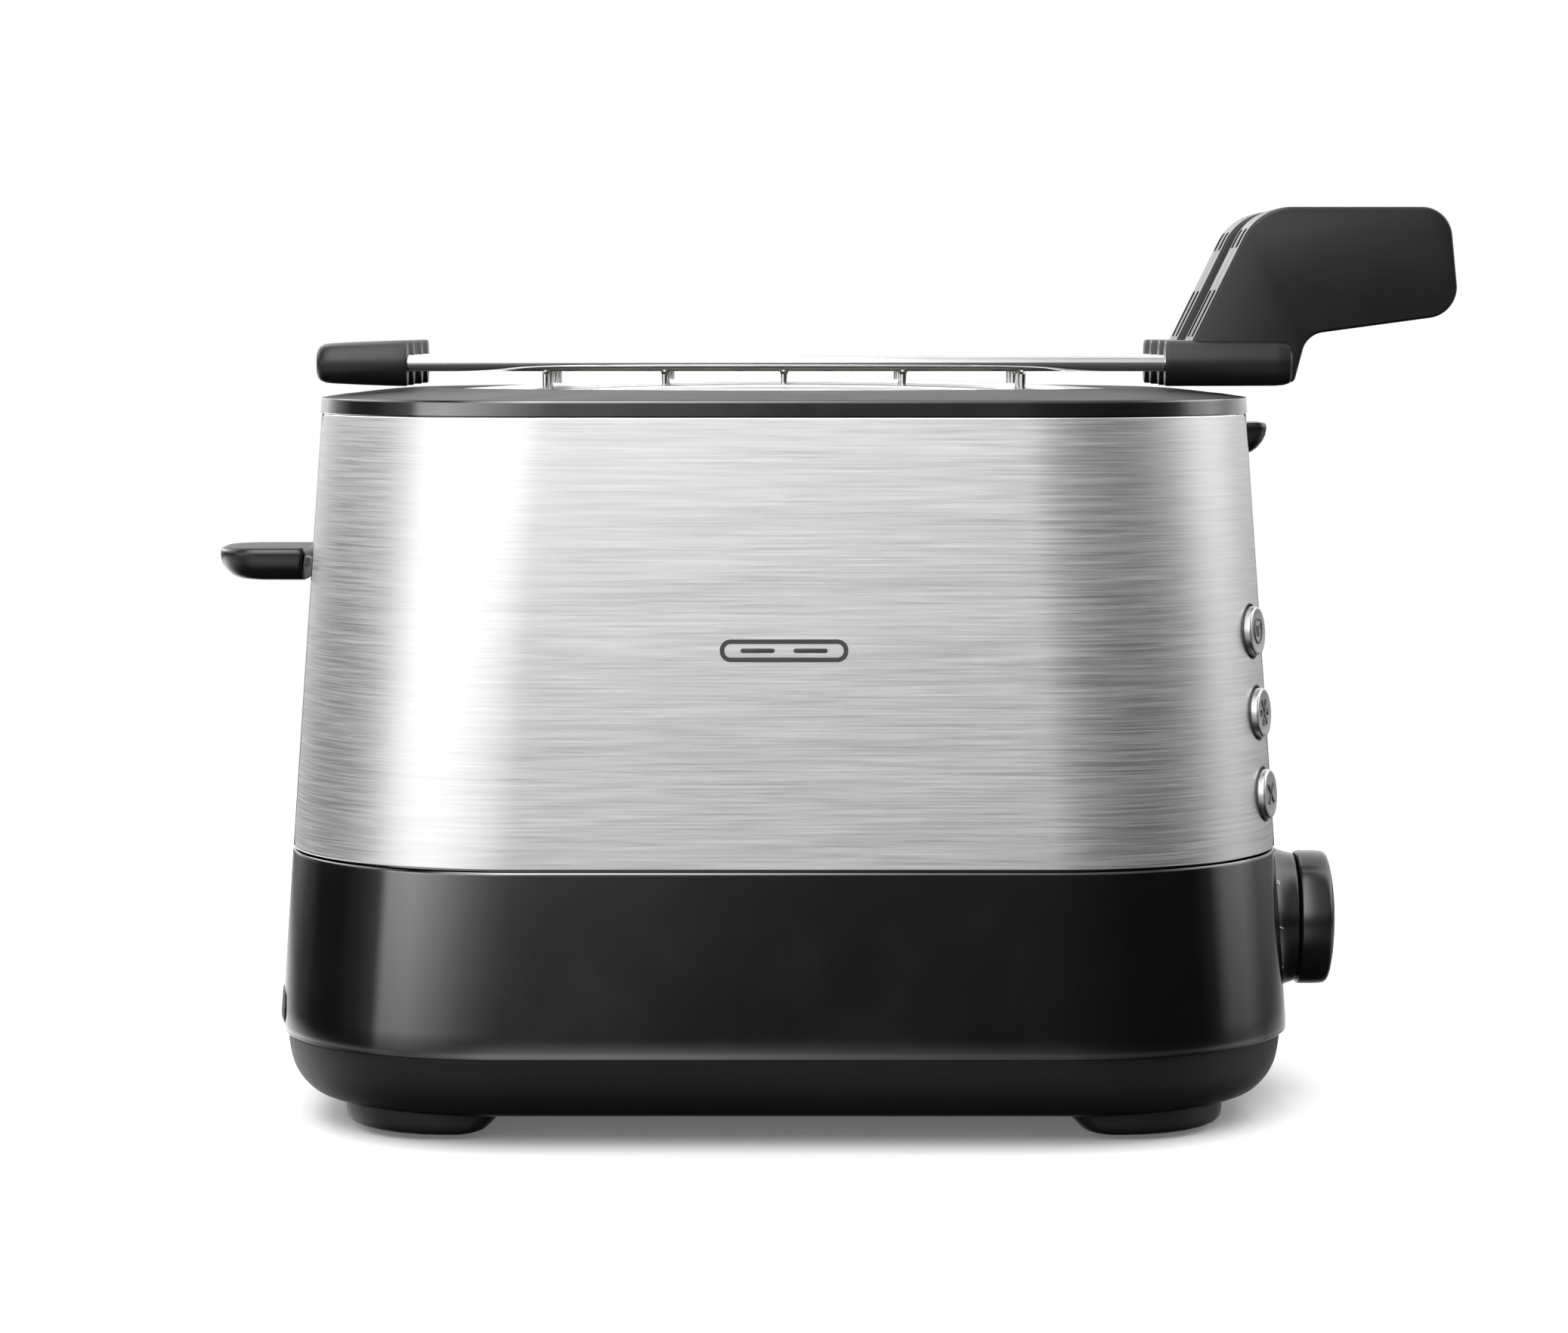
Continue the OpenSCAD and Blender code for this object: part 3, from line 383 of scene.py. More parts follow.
class Shader:
    """A Principled material with its nodes."""

    def __init__(self, name, color, roughness, metallic=0.0, specular=0.5):
        self.mat = bpy.data.materials.new(name)
        self.mat.use_nodes = True
        self.mat.diffuse_color = (*color, 1)
        self.tree = self.mat.node_tree
        self.bsdf = self.tree.nodes["Principled BSDF"]
        for socket, value in (("Base Color", (*color, 1)), ("Roughness", roughness),
                              ("Metallic", metallic), ("Specular IOR Level", specular)):
            self.set(socket, value)

    def set(self, socket, value):
        self.bsdf.inputs[socket].default_value = value

    def node(self, kind, **values):
        n = self.tree.nodes.new(kind)
        for key, value in values.items():
            if key in n.inputs.keys():
                n.inputs[key].default_value = value
            else:
                setattr(n, key, value)
        return n

    def link(self, a, b):
        self.tree.links.new(a, b)

    def noise(self, scale, detail=3.0, rough=0.5, stretch=(1, 1, 1)):
        """A noise value over the object's own coordinates, in metres."""
        coord = self.node("ShaderNodeTexCoord")
        mapping = self.node("ShaderNodeMapping", Scale=stretch)
        tex = self.node("ShaderNodeTexNoise", Scale=scale, Detail=detail, Roughness=rough)
        self.link(coord.outputs["Object"], mapping.inputs["Vector"])
        self.link(mapping.outputs["Vector"], tex.inputs["Vector"])
        return tex.outputs["Fac"]

    def ranged(self, value, low, high, start=0.3, stop=0.7):
        ends = {"From Min": start, "From Max": stop, "To Min": low, "To Max": high}
        n = self.node("ShaderNodeMapRange", **ends)
        self.link(value, n.inputs["Value"])
        return n.outputs["Result"]

    def vary_roughness(self, value, middle, uneven):
        self.link(self.ranged(value, middle - uneven, middle + uneven), self.bsdf.inputs["Roughness"])

    def vary_color(self, value, dark, light):
        n = self.node("ShaderNodeMix", data_type="RGBA")
        self.link(self.ranged(value, 0, 1), n.inputs["Factor"])
        # the colour pair among the node's sockets is 6 and 7
        n.inputs[6].default_value = (*dark, 1)
        n.inputs[7].default_value = (*light, 1)
        self.link(n.outputs[2], self.bsdf.inputs["Base Color"])

    def bump(self, value, height, strength):
        """Relief of a height in millimetres."""
        n = self.node("ShaderNodeBump", Strength=strength, Distance=height * MM)
        self.link(value, n.inputs["Height"])
        self.link(n.outputs["Normal"], self.bsdf.inputs["Normal"])


def grey(v):
    return (v, v, v)


def brushed(name, value, rough, uneven, stretch, streak, aniso):
    """Metal brushed along one direction: fine streaks in colour, roughness and relief."""
    s = Shader(name, grey(value), rough, metallic=1.0)
    s.set("Anisotropic", aniso)
    t = s.node("ShaderNodeTangent", direction_type="RADIAL", axis="Z")
    s.link(t.outputs["Tangent"], s.bsdf.inputs["Tangent"])
    fine = s.noise(1.0, 4, 0.6, stretch)
    coarse = s.noise(1.0, 2, 0.5, tuple(v * 0.4 for v in stretch))
    both = s.node("ShaderNodeMath", operation="MULTIPLY_ADD")
    s.link(coarse, both.inputs[0])
    both.inputs[1].default_value = COARSE_SHARE
    scaled = s.node("ShaderNodeMath", operation="MULTIPLY")
    s.link(fine, scaled.inputs[0])
    scaled.inputs[1].default_value = 1 - COARSE_SHARE
    s.link(scaled.outputs[0], both.inputs[2])
    s.vary_color(both.outputs[0], grey(value * (1 - streak)), grey(value * (1 + streak)))
    s.vary_roughness(fine, rough, uneven)
    s.bump(fine, 0.012, 0.35)
    return s.mat


def plastic(name, value, rough, grain_scale, grain, specular=0.5, uneven=0.04, tint=(1, 1, 1), coat=0.0):
    """Moulded plastic with a fine grain and slightly uneven gloss."""
    color = [value * t for t in tint]
    s = Shader(name, color, rough, specular=specular)
    s.vary_roughness(s.noise(60.0, 4, 0.6), rough, uneven)
    s.vary_color(s.noise(25.0, 3), [c * 0.88 for c in color], [c * 1.12 for c in color])
    if grain > 0:
        s.bump(s.noise(grain_scale, 3, 0.6), grain, 0.6)
    if coat > 0:
        s.set("Coat Weight", coat)
        s.set("Coat Roughness", rough * 0.8)
    return s.mat


def polished(name, value, rough, stretch=(8, 900, 900)):
    """Plated wire or sheet with faint drawing marks along its length."""
    s = Shader(name, grey(value), rough, metallic=1.0)
    marks = s.noise(1.0, 4, 0.6, stretch)
    s.vary_roughness(marks, rough * 1.05, rough * 0.35)
    s.vary_color(s.noise(40.0, 3), grey(value * 0.93), grey(value * 1.05))
    s.bump(marks, 0.004, 0.3)
    return s.mat


M = {
    "steel": brushed("brushed_steel", 0.70, 0.36, 0.05, (40, 40, 2200), 0.14, 0.55),
    "deck": brushed("satin_deck", 0.66, 0.30, 0.04, (14, 2600, 2600), 0.05, 0.5),
    "gloss": plastic("gloss_black", 0.0014, 0.10, 900.0, 0.0015, specular=1.0, uneven=0.03, coat=1.0),
    "base": plastic("textured_black", 0.0035, 0.5, 2600.0, 0.04, specular=0.22),
    "rim": plastic("rim_black", 0.0014, 0.10, 1200.0, 0.002, specular=1.0, uneven=0.03, coat=1.0),
    # the grained top: real grain and roughness, with a lighter colour that is painted light on faces that
    # look up to the lamps
    "grain_lit_top": plastic("grained_black_lit_top", 0.014, 0.62, 2600.0, 0.05, specular=0.22),
    "grip": plastic("satin_black", 0.0025, 0.34, 2200.0, 0.010, specular=0.4),
    "lever": plastic("lever_black", 0.004, 0.24, 1500.0, 0.004, specular=0.5, uneven=0.03),
    "dark": plastic("dark_plastic", 0.02, 0.6, 1500.0, 0.03),
    "rubber": plastic("rubber", 0.02, 0.8, 1800.0, 0.05, specular=0.3),
    "badge": plastic("badge_grey", 0.016, 0.35, 2500.0, 0.006),
    "print": plastic("white_print", 0.75, 0.6, 2500.0, 0.0),
    "digit": plastic("grey_print", 0.28, 0.6, 2500.0, 0.0),
    "mica": plastic("mica", 0.45, 0.65, 500.0, 0.05, tint=(1.0, 0.88, 0.70)),
    "board": plastic("circuit_board", 0.10, 0.4, 1200.0, 0.02, tint=(0.18, 1.0, 0.45)),
    "copper": plastic("magnet_copper", 0.30, 0.45, 1500.0, 0.02, tint=(1.0, 0.42, 0.2)),
    "chrome": polished("chrome_wire", 0.55, 0.12),
    "key": polished("key_metal", 0.44, 0.34, (4000, 4000, 4000)),
    "zinc": polished("zinc_sheet", 0.52, 0.34, (60, 60, 900)),
    "mirror": polished("reflector_sheet", 0.70, 0.22, (20, 900, 900)),
    "ribbon": polished("heater_ribbon", 0.34, 0.42, (10, 900, 900)),
    "symbol": plastic("symbol_ink", 0.012, 0.5, 2500.0, 0.0),
}


# ---- casing ----
def shell(profile):
    """A closed skin of the body's outline, from a loop of (inset, z)."""
    stations = all_round()
    return loft([[place(s, inset, z) for s in stations] for inset, z in profile], row_closed=True)


def make_base():
    """The matte tray: a wall that curves under, the cord's outlet, screw holes and four feet."""
    wall = smooth_curve([(20, 6.6), (11.5, 8.1), (7.3, 11.0), (4.4, 15), (2.8, 19.6), (1.9, BASE_TOP - 0.5)])
    lip = [(2.0, BASE_TOP - 0.15), (2.3, BASE_TOP), (5.6, BASE_TOP), (6.0, BASE_TOP - 0.4)]
    inside = [(6.6, 19.6), (9, 14), (11, 11.4), (13, 10.6)]
    stations = all_round()
    rings = [[place(s, inset, z) for s in stations] for inset, z in wall + lip + inside]
    obj = mesh_object("base", loft(rings, caps=True))
    seat = half_y(GROMMET_Z) - GROMMET_DEPTH
    outlet = Matrix.Translation((GROMMET_X, 0, GROMMET_Z)) @ Matrix.Rotation(-math.pi / 2, 4, "X")
    cut(obj, moved(lathe([(0, 80), (6, 80), (6, seat), (7, seat), (7, 100), (0, 100)], 40), outlet))
    for sx, sy in FOUR_WAYS:
        cut(obj, moved(plug(3.8, 5, 9), Matrix.Translation((sx * SCREW_X, sy * SCREW_Y, 0))))
    for sx, sy in FOUR_WAYS:
        cut(obj, foot_block(sx, sy), "UNION")
    piece(obj, "root", "base", "base_tray")


def foot_block(sx, sy):
    """One foot: it flares into the base at its inner side and follows the base's corner outside."""
    rings = []
    for z, inner, outer, edge in ((9.5, 71, 121, 0), (8.2, 74, 121, 0), (7.2, 76, 121, 0),
                                  (6.0, 77.6, 121, 0),
                                  (4.6, 79.0, 120.9, 0), (3.2, 80.4, 120.6, 0.15), (2.3, 81.8, 120.0, 0.6),
                                  (1.7, 83.4, 119.0, 1.4), (1.5, 85.2, 117.8, 2.4)):
        near, far = 42 + edge, 78.5 - edge
        outline = rounded([(inner, near, 4), (outer, near, 5), (outer, far, 27), (inner, far, 6)], 7)
        ring = [(sx * x, sy * y, z) for x, y in outline]
        rings.append(ring if sx * sy > 0 else ring[::-1])
    return loft(rings, caps=True)


def make_feet():
    pad = lathe([(0, 0), (4.4, 0), (5.2, 0.25), (5.5, 0.9), (5.5, 2.4), (2.4, 2.4), (2.4, 5.8), (0, 5.8)], 48)
    pads = [moved(pad, Matrix.Translation((sx * FOOT_X, sy * FOOT_Y, 0))) for sx, sy in FOUR_WAYS]
    piece(mesh_object("feet", merged(*pads)), "root", "rubber", "rubber_feet")


def make_skirt():
    """The glossy band, with the crumb tray's mouth at the left and the knob shaft's hole at the right."""
    low, top = BASE_TOP + 0.2, SKIRT_TOP + 0.2
    outer = [(0.6, low), (0.2, low), (0.1, low + 0.1), (0.09, low + 0.4), (0.06, low + 1)]
    outer += [(0, z) for z in spread(low + 2, top - 1, 10)]
    outer += [(0, top - 0.4), (0.1, top - 0.1), (0.35, top)]
    inner = [(2.5, top), (2.5, top + 4.8), (3.8, top + 4.8), (3.2, top - 2.2), (3.2, low)]
    obj = mesh_object("skirt", shell(outer + inner))
    mouth = rounded([(-50.3, 10, 0), (50.3, 10, 0), (50.3, 36.8, 6), (-50.3, 36.8, 6)])
    cut(obj, moved(prism(mouth, -150, -120), ALONG_X))
    cut(obj, moved(plug(4.2, 120, 150), along_x(0, 0, KNOB_Z)))
    piece(obj, "root", "gloss", "lower_housing")


def sheet_panel(name, stations, thick, corner):
    """A sheet on the body's wall whose four corners are rounded, with softened edges."""
    z0, z1 = SKIRT_TOP + 0.9, WRAP_TOP - 0.1
    middle = [place(s, 0, (z0 + z1) / 2) for s in stations]
    columns = []
    for s, reach in zip(stations, from_ends(middle)):
        drop = corner_drop(reach, corner)
        low, high = z0 + drop, z1 - drop
        levels = [low, low + 0.35] + spread(low + 0.9, high - 0.9, 26) + [high - 0.35, high]
        columns.append([place(s, 0, z) for z in levels])
    obj = mesh_object(name, loft(columns, ring_closed=False))
    mod = obj.modifiers.new("thick", "SOLIDIFY")
    mod.thickness, mod.offset = thick * MM, -1
    return bevel(bake(obj), 0.28, 2, 60)


SEAM_TURN = turn_at(43, 75)
SEAM_GAP = 0.25


def wrap_stations():
    near_end = [SEAM_TURN + (90 - SEAM_TURN) * (i / 46) ** 1.35 for i in range(47)]
    left = [(-1, -1, 180 + t) for t in near_end]
    flat = [(-1 + 2 * i / 20, -1, 270) for i in range(1, 20)]
    right = [(1, -1, 360 - t) for t in reversed(near_end)]
    return left + flat + right


def cover_stations(side):
    t = SEAM_TURN - SEAM_GAP
    turns = [t * (1 - (i / 14) ** 1.4) for i in range(15)]
    base = 0 if side > 0 else 180
    first = [(side, -side, base - a) for a in turns]
    flat = [(side, side * (-1 + 2 * i / 16), base) for i in range(1, 16)]
    last = [(side, side, base + a) for a in reversed(turns)]
    return first + flat + last


def button_matrix(i):
    """Frame of a button: its Z axis is the wall's outward normal."""
    z = BUTTON_Z + BUTTON_PITCH * (1 - i)
    turn = math.radians(turn_at(BUTTON_Y, z))
    p = place((1, -1, -math.degrees(turn)), 0, z)
    swing = math.atan2(math.sin(turn) / CORNER_Y, math.cos(turn) / CORNER_X)
    return (Matrix.Translation(p) @ Matrix.Rotation(-swing, 4, "Z")
            @ Matrix.Rotation(math.pi / 2 - END_TILT, 4, "Y"))


def make_wraps():
    hole = plug(BUTTON_R + 0.9, -8, 8, 64)
    for side, name in ((-1, "front"), (1, "rear")):
        obj = sheet_panel("wrap_" + name, wrap_stations(), 0.8, 4.5)
        if side > 0:
            obj.data.transform(Matrix.Rotation(math.pi, 4, "Z"))
        else:
            for i in range(3):
                cut(obj, moved(hole, button_matrix(i)))
        piece(obj, "root", "steel", "steel_wrap_" + name)


def make_covers():
    """Both end covers, each with the slit of its lever."""
    for side, name, low, high, r in ((-1, "left", LEVER_Z - LEVER_TRAVEL - 5, LEVER_Z + 5, 4.9),
                                     (1, "right", BUN_Z - BUN_TRAVEL - 5, BUN_Z + 4, 3.0)):
        obj = sheet_panel("cover_" + name, cover_stations(side), 2.2, 0.8)
        slit = rounded([(-5, low, 4.9), (5, low, 4.9), (5, high, r), (-5, high, r)])
        x0, x1 = sorted((side * 115, side * 150))
        cut(obj, moved(prism(slit, x0, x1), ALONG_X))
        piece(obj, "root", "gloss", name + "_end_cover")


def on_ellipse(s, a, b, z):
    p = place(s, 0, RIM_EDGE)
    t = math.atan2(p[1] / half_y(RIM_EDGE), p[0] / half_x(RIM_EDGE))
    return (a * math.cos(t), b * math.sin(t), z)


def make_rim():
    stations = all_round(30, 30, 14)
    rings = []
    for inset, z in ((3.8, WRAP_TOP - 4), (2.5, WRAP_TOP - 4), (2.5, WRAP_TOP + 0.1), (0.1, WRAP_TOP + 0.1),
                     (-0.2, WRAP_TOP + 0.15), (-0.3, WRAP_TOP + 0.3), (-0.3, WRAP_TOP + 0.7),
                     (-0.3, RIM_EDGE - 0.9), (-0.3, RIM_EDGE - 0.45), (-0.26, RIM_EDGE - 0.2),
                     (-0.12, RIM_EDGE - 0.06), (0.15, RIM_EDGE)):
        rings.append([place(s, inset, z) for s in stations])
    for k in spread(0, 1, 10)[1:]:
        z = RIM_EDGE + (RIM_CREST - RIM_EDGE) * math.sin(k * math.pi / 2) ** 1.1
        ring = []
        for s in stations:
            p, q = place(s, 0.15, RIM_EDGE), on_ellipse(s, DECK_A + 5, DECK_B + 4, RIM_CREST)
            ring.append((p[0] + (q[0] - p[0]) * k, p[1] + (q[1] - p[1]) * k, z))
        rings.append(ring)
    for grow, z in ((4.0, RIM_CREST - 0.05), (3.0, RIM_CREST - 0.3), (2.0, RIM_CREST - 0.8),
                    (1.1, RIM_CREST - 1.6), (0.7, RIM_CREST - 2.6), (0.6, LEDGE_Z), (-2, LEDGE_Z),
                    (-2, LEDGE_Z - 1.5), (4, LEDGE_Z - 1.5)):
        rings.append([on_ellipse(s, DECK_A + grow, DECK_B + grow, z) for s in stations])
    rings.append([place(s, 3.8, WRAP_TOP) for s in stations])
    # the rim's up-facing faces take the grained top, whose lighter colour is painted light
    give_grain_and_lit_top(piece(mesh_object("rim", loft(rings, row_closed=True)), "root", "rim", "top_rim"))


def dome(x, y):
    return DECK_TOP - x * x / (2 * CROWN_X) - y * y / (2 * CROWN_Y)


def make_deck():
    """A crowned plate with rolled slot lips, down-turned slot walls and an outer flange."""
    openings = []
    for side in (-1, 1):
        openings.append((side * SLOT_Y, SLOT_LEN, SLOT_W, 1.6, 193.0))
        openings.append((side * RAIL_Y, 2 * RAIL_X + 5, 2 * RAIL_R + 1.2, 0.5, 200.2))
    points, edges = [], []

    def loop(ring):
        start = len(points)
        points.extend(Vector(p) for p in ring)
        edges.extend((start + i, start + (i + 1) % len(ring)) for i in range(len(ring)))

    def in_a_hole(x, y, margin):
        for oy, length, width, r, _ in openings:
            beyond = max(abs(x) - (length - width) / 2, 0)
            if math.hypot(beyond, y - oy) < width / 2 + r + margin:
                return True
        return False

    outer = [(DECK_A * math.cos(a), DECK_B * math.sin(a)) for a in full_turn(144)]
    edge_ring = [(x * (1 - 0.8 / DECK_A), y * (1 - 0.8 / DECK_B)) for x, y in outer]
    loop(edge_ring)
    for oy, length, width, r, _ in openings:
        loop([(x, oy + y) for x, y in track(length + 2 * r, width + 2 * r)])
    for i in range(-23, 24):
        for j in range(-14, 15):
            x, y = i * 4.0, j * 4.0
            if (x / DECK_A) ** 2 + (y / DECK_B) ** 2 < 0.95 and not in_a_hole(x, y, 1.2):
                points.append(Vector((x, y)))
    flat, _, tris, _, _, _ = delaunay_2d_cdt(points, edges, [], 0, 1e-5)
    faces = []
    for t in tris:
        cx, cy = sum((flat[i] for i in t), Vector((0, 0))) / 3
        if not in_a_hole(cx, cy, -0.01):
            faces.append(tuple(t))
    parts = [([(v.x, v.y, dome(v.x, v.y)) for v in flat], faces)]
    for oy, length, width, r, bottom in openings:
        rings = []
        for a in spread(math.pi / 2, 0, 6):
            grow, drop = 2 * r * (1 - math.cos(a)), r * (1 - math.sin(a))
            ring = [(x, oy + y) for x, y in track(length + grow, width + grow)]
            rings.append([(x, y, dome(x, y) - drop) for x, y in ring])
        for grow, z in ((0, bottom), (1.2, bottom), (1.2, min(199.8, bottom + 8))):
            rings.append([(x, oy + y, z) for x, y in track(length + grow, width + grow)])
        parts.append(loft(rings))
    flange = [[(x, y, dome(x, y)) for x, y in edge_ring]]
    flange.append([(x * (1 - 0.3 / DECK_A), y * (1 - 0.3 / DECK_B), dome(x, y) - 0.12) for x, y in outer])
    flange.append([(x, y, dome(x, y) - 0.5) for x, y in outer])
    for share, z in ((1, LEDGE_Z), (0.99, LEDGE_Z), (0.985, LEDGE_Z + 2)):
        flange.append([(x * share, y * share, z) for x, y in outer])
    parts.append(loft(flange))
    piece(mesh_object("deck", merged(*parts)), "root", "deck", "top_deck", angle=50)


def make_badge():
    """A plain capsule badge with two bars."""
    outer = rect_ring(-17, 17, -3, 3, 0, 2.9, 2.9, 12)
    inner = rect_ring(-15.8, 15.8, -1.8, 1.8, 0, 1.7, 1.7, 12)
    levels = ((outer, 1, 1, 0), (outer, 1, 1, 0.2), (outer, 0.995, 0.97, 0.29),
              (inner, 1.005, 1.04, 0.29), (inner, 1, 1, 0.2), (inner, 1, 1, 0))
    border = loft([[(x * sx, y * sy, z) for x, y, _ in ring] for ring, sx, sy, z in levels], row_closed=True)
    bars = [rounded_box(x - 4.5, x + 4.5, -0.6, 0.6, 0, 0.29, 0.55, 0.1) for x in (-7, 7)]
    m = (Matrix.Translation((0, -half_y(BADGE_Z), BADGE_Z))
         @ Matrix.Rotation(math.pi / 2 - math.atan(SIDE_LEAN), 4, "X"))
    piece(mesh_object("badge", moved(merged(border, *bars), m)), "root", "badge", "front_mark")


# ---- controls ----
def make_bezel():
    profile = [(4.2, -0.2), (24, -0.2), (23.9, 0.1)]
    profile += smooth_curve([(23.0, 0.35), (21.6, 1.1), (20.2, 2.4), (19.2, 4.2), (18.6, 6.0)], 6)
    profile += [(18.45, BEZEL_H - 0.2), (18.2, BEZEL_H), (17.5, BEZEL_H), (17.2, BEZEL_H - 0.3), (17.2, 1.4),
                (4.2, 1.4)]
    verts, faces = turned_ring(profile, 120)
    piece(mesh_object("dial_bezel", ([flare(v) for v in verts], faces)), "root", "lever", "dial_bezel")


def flare(point):
    """Carries a point of the bezel between the leaning wall and the upright ring behind the knob."""
    down, y, height = point
    z = KNOB_Z - down
    return (half_x(z) + height / BEZEL_H * (DIAL_FRONT_X - half_x(z)), y, z)


def make_digits():
    """Dial numbers 1 to 8 round the flared bezel."""
    rows = []
    lift = Matrix.Translation((0, 21.15, 1.72)) @ Matrix.Rotation(math.radians(-43), 4, "X")
    for i in range(8):
        curve = bpy.data.curves.new("digit", "FONT")
        curve.body, curve.size = str(i + 1), 3.0
        curve.align_x, curve.align_y = "CENTER", "CENTER"
        curve.extrude, curve.resolution_u = 0.015, 3
        obj = added("digit", curve)
        me = evaluated_mesh(obj)
        stand = Matrix.Rotation(math.radians(i * 36 - 36), 4, "Z") @ lift
        rows.append(([flare(stand @ v.co) for v in me.vertices], [tuple(p.vertices) for p in me.polygons]))
        bpy.data.objects.remove(obj)
    piece(mesh_object("dial_digits", merged(*rows)), "root", "digit")


def make_knob():
    profile = [(0, 10.6), (8, 10.6), (11.5, 10.35), (14.5, 9.9), (17.2, 9.3), (18.0, 9.05), (18.6, 8.6),
               (18.95, 8.0), (19.1, 7.0), (19.2, 5.0), (19.2, 1.2), (19.05, 0.5), (18.6, 0.1), (18.0, 0),
               (3.2, 0), (3.2, -5.4), (0, -5.4)]
    obj = mesh_object("knob", moved(lathe(profile, 128), along_x(KNOB_X, 0, KNOB_Z)))
    cut(obj, rounded_box(KNOB_X + 9.75, KNOB_X + 13, -0.8, 0.8, KNOB_Z + 4, KNOB_Z + 16.5, 0.7, 0.1))
    piece(obj, "knob", "lever", "browning_knob")
    mark = rounded_box(KNOB_X + 9.2, KNOB_X + 9.95, -0.55, 0.55, KNOB_Z + 4.6, KNOB_Z + 15.8, 0.5, 0.1)
    piece(mesh_object("knob_pointer", mark), "knob", "print")


def symbol_arrow(r=3.3):
    """A circular arrow round a slice of toast."""
    turns = spread(math.radians(60), math.radians(390), 30)
    ring = tube([(r * math.cos(a), r * math.sin(a), 0) for a in turns], 0.32, 8)
    head = prism([(r + 1.1, 1.2), (r - 1.2, 1.4), (r - 0.1, 3.0)], -0.1, 0.12)
    bread = rounded([(-1.2, -1.5, 0.3), (1.2, -1.5, 0.3), (1.2, 0.5, 0.2), (1.5, 1.5, 0.5), (-1.5, 1.5, 0.5),
                     (-1.2, 0.5, 0.2)], 3)
    return merged(ring, head, prism(bread, -0.1, 0.12))


def symbol_flake(r=3.9):
    """Six arms, each with two pairs of barbs."""
    rows = []
    for k in range(6):
        a = math.radians(60 * k)
        d, n = Vector((math.cos(a), math.sin(a), 0)), Vector((-math.sin(a), math.cos(a), 0))
        rows.append(tube([d * 0.1, d * r], 0.24, 8))
        for share in (0.5, 0.74):
            for s in (-1, 1):
                rows.append(tube([d * r * share, d * (r * share + 0.8) + n * s * 0.85], 0.2, 8))
    return merged(*rows)


def symbol_stop(r=2.5):
    return merged(*[tube([(s * r, -r, 0), (-s * r, r, 0)], 0.42, 8) for s in (-1, 1)])


def make_buttons():
    face = [(0, 1.8), (3.5, 1.82), (5.2, 1.9), (5.8, 1.98), (6.1, 2.0), (6.35, 1.94), (6.6, 1.75),
            (6.75, 1.4),
            (BUTTON_R, 1.0), (BUTTON_R, -5), (2, -5), (2, -15), (0, -15)]
    edge = [(BUTTON_R + 0.35, -4), (BUTTON_R + 0.35, -0.5), (BUTTON_R + 0.42, -0.1), (BUTTON_R + 0.52, 0),
            (BUTTON_R + 0.66, 0), (BUTTON_R + 0.76, -0.15), (BUTTON_R + 0.8, -0.6), (BUTTON_R + 0.8, -4)]
    rings = []
    keys = (("reheat", symbol_arrow), ("defrost", symbol_flake), ("cancel", symbol_stop))
    for i, (name, symbol) in enumerate(keys):
        m = button_matrix(i)
        rings.append(moved(turned_ring(edge, 72), m))
        piece(mesh_object(name + "_button", moved(lathe(face, 72), m)), name + "_key", "key",
              "button_" + name)
        ink = moved(symbol(), m @ Matrix.Translation((0, 0, 1.81)) @ Matrix.Rotation(math.pi / 2, 4, "Z"))
        piece(mesh_object(name + "_symbol", ink), name + "_key", "symbol")
    piece(mesh_object("button_rings_skin", merged(*rings)), "root", "dark", "button_rings")


def make_lever():
    """Bread lever: flat on top, round in plan, its flanks and tip tucked in underneath."""
    rings = []
    for inset, z in ((1.6, 157.1), (0.9, 157.0), (0.35, 156.6), (0.05, 156.0), (0, 155.2), (0.15, 153.8),
                     (0.6, 152.3), (1.5, 150.8), (2.8, 149.5), (4.3, 148.6), (6.0, 148.1), (8.0, 147.9)):
        side, end = inset * 0.55, min(inset, 0.5)
        rings.append(rect_ring(-160.3 + inset, -135.3 - end, -17 + side, 17 - side, z, 11 - side, 1.5, 12))
    # the lever's up-facing faces take the grained top, whose lighter colour is painted light
    give_grain_and_lit_top(piece(mesh_object("bread_lever", loft(rings, caps=True)), "carriage", "lever", "lever_handle"))


def make_bun_lever():
    """The small lever; behind the wall its stem, the plate with the rocker's pin and the sleeve."""
    rings = []
    for inset, z in ((1.0, 192.3), (0.4, 192.15), (0.05, 191.6), (0, 190.6), (0.3, 188.8), (1.1, 187.0),
                     (2.4, 185.3), (3.8, 184.1), (5.0, 183.6)):
        side = 11 - inset * 0.4
        rings.append(rect_ring(half_x(z) + WALL_GAP, 136.8 - inset, -side, side, z, 0.6, 3.5, 10))
    piece(mesh_object("bun_lever_handle", loft(rings, caps=True)), "bun_lever", "lever", "bun_lever",
          slot="bun_lever_black")
    pin_z = 172 + BUN_TRAVEL / 2
    stem = rounded_box(101, 131, -3.5, 3.5, BUN_Z - 1, BUN_Z + 1, 0.4, 0.2)
    plate = rounded_box(100, 101.2, -30, 6, pin_z - 4, BUN_Z + 1, 0.3, 0.3)
    tie = rounded_box(101, 102.6, -16, -12, pin_z - 4, BUN_Z - 1.5, 0.3, 0.2)
    pin = moved(lathe([(0, 92.6), (1.7, 92.6), (2, 92.9), (2, 100.6), (0, 100.6)], 32),
                along_x(0, -25, pin_z))
    outline = ((2.56, -10), (4.3, -10), (4.5, -9.8), (4.5, -1.4), (4.3, -1.2), (2.56, -1.2))
    lean = Matrix.Translation((106, -14, BUN_Z)) @ Matrix.Rotation(-END_TILT, 4, "Y")
    sleeve = moved(turned_ring(outline, 48), lean)
    piece(mesh_object("bun_lever_bracket", merged(stem, plate, tie, pin, sleeve)), "bun_lever", "zinc")


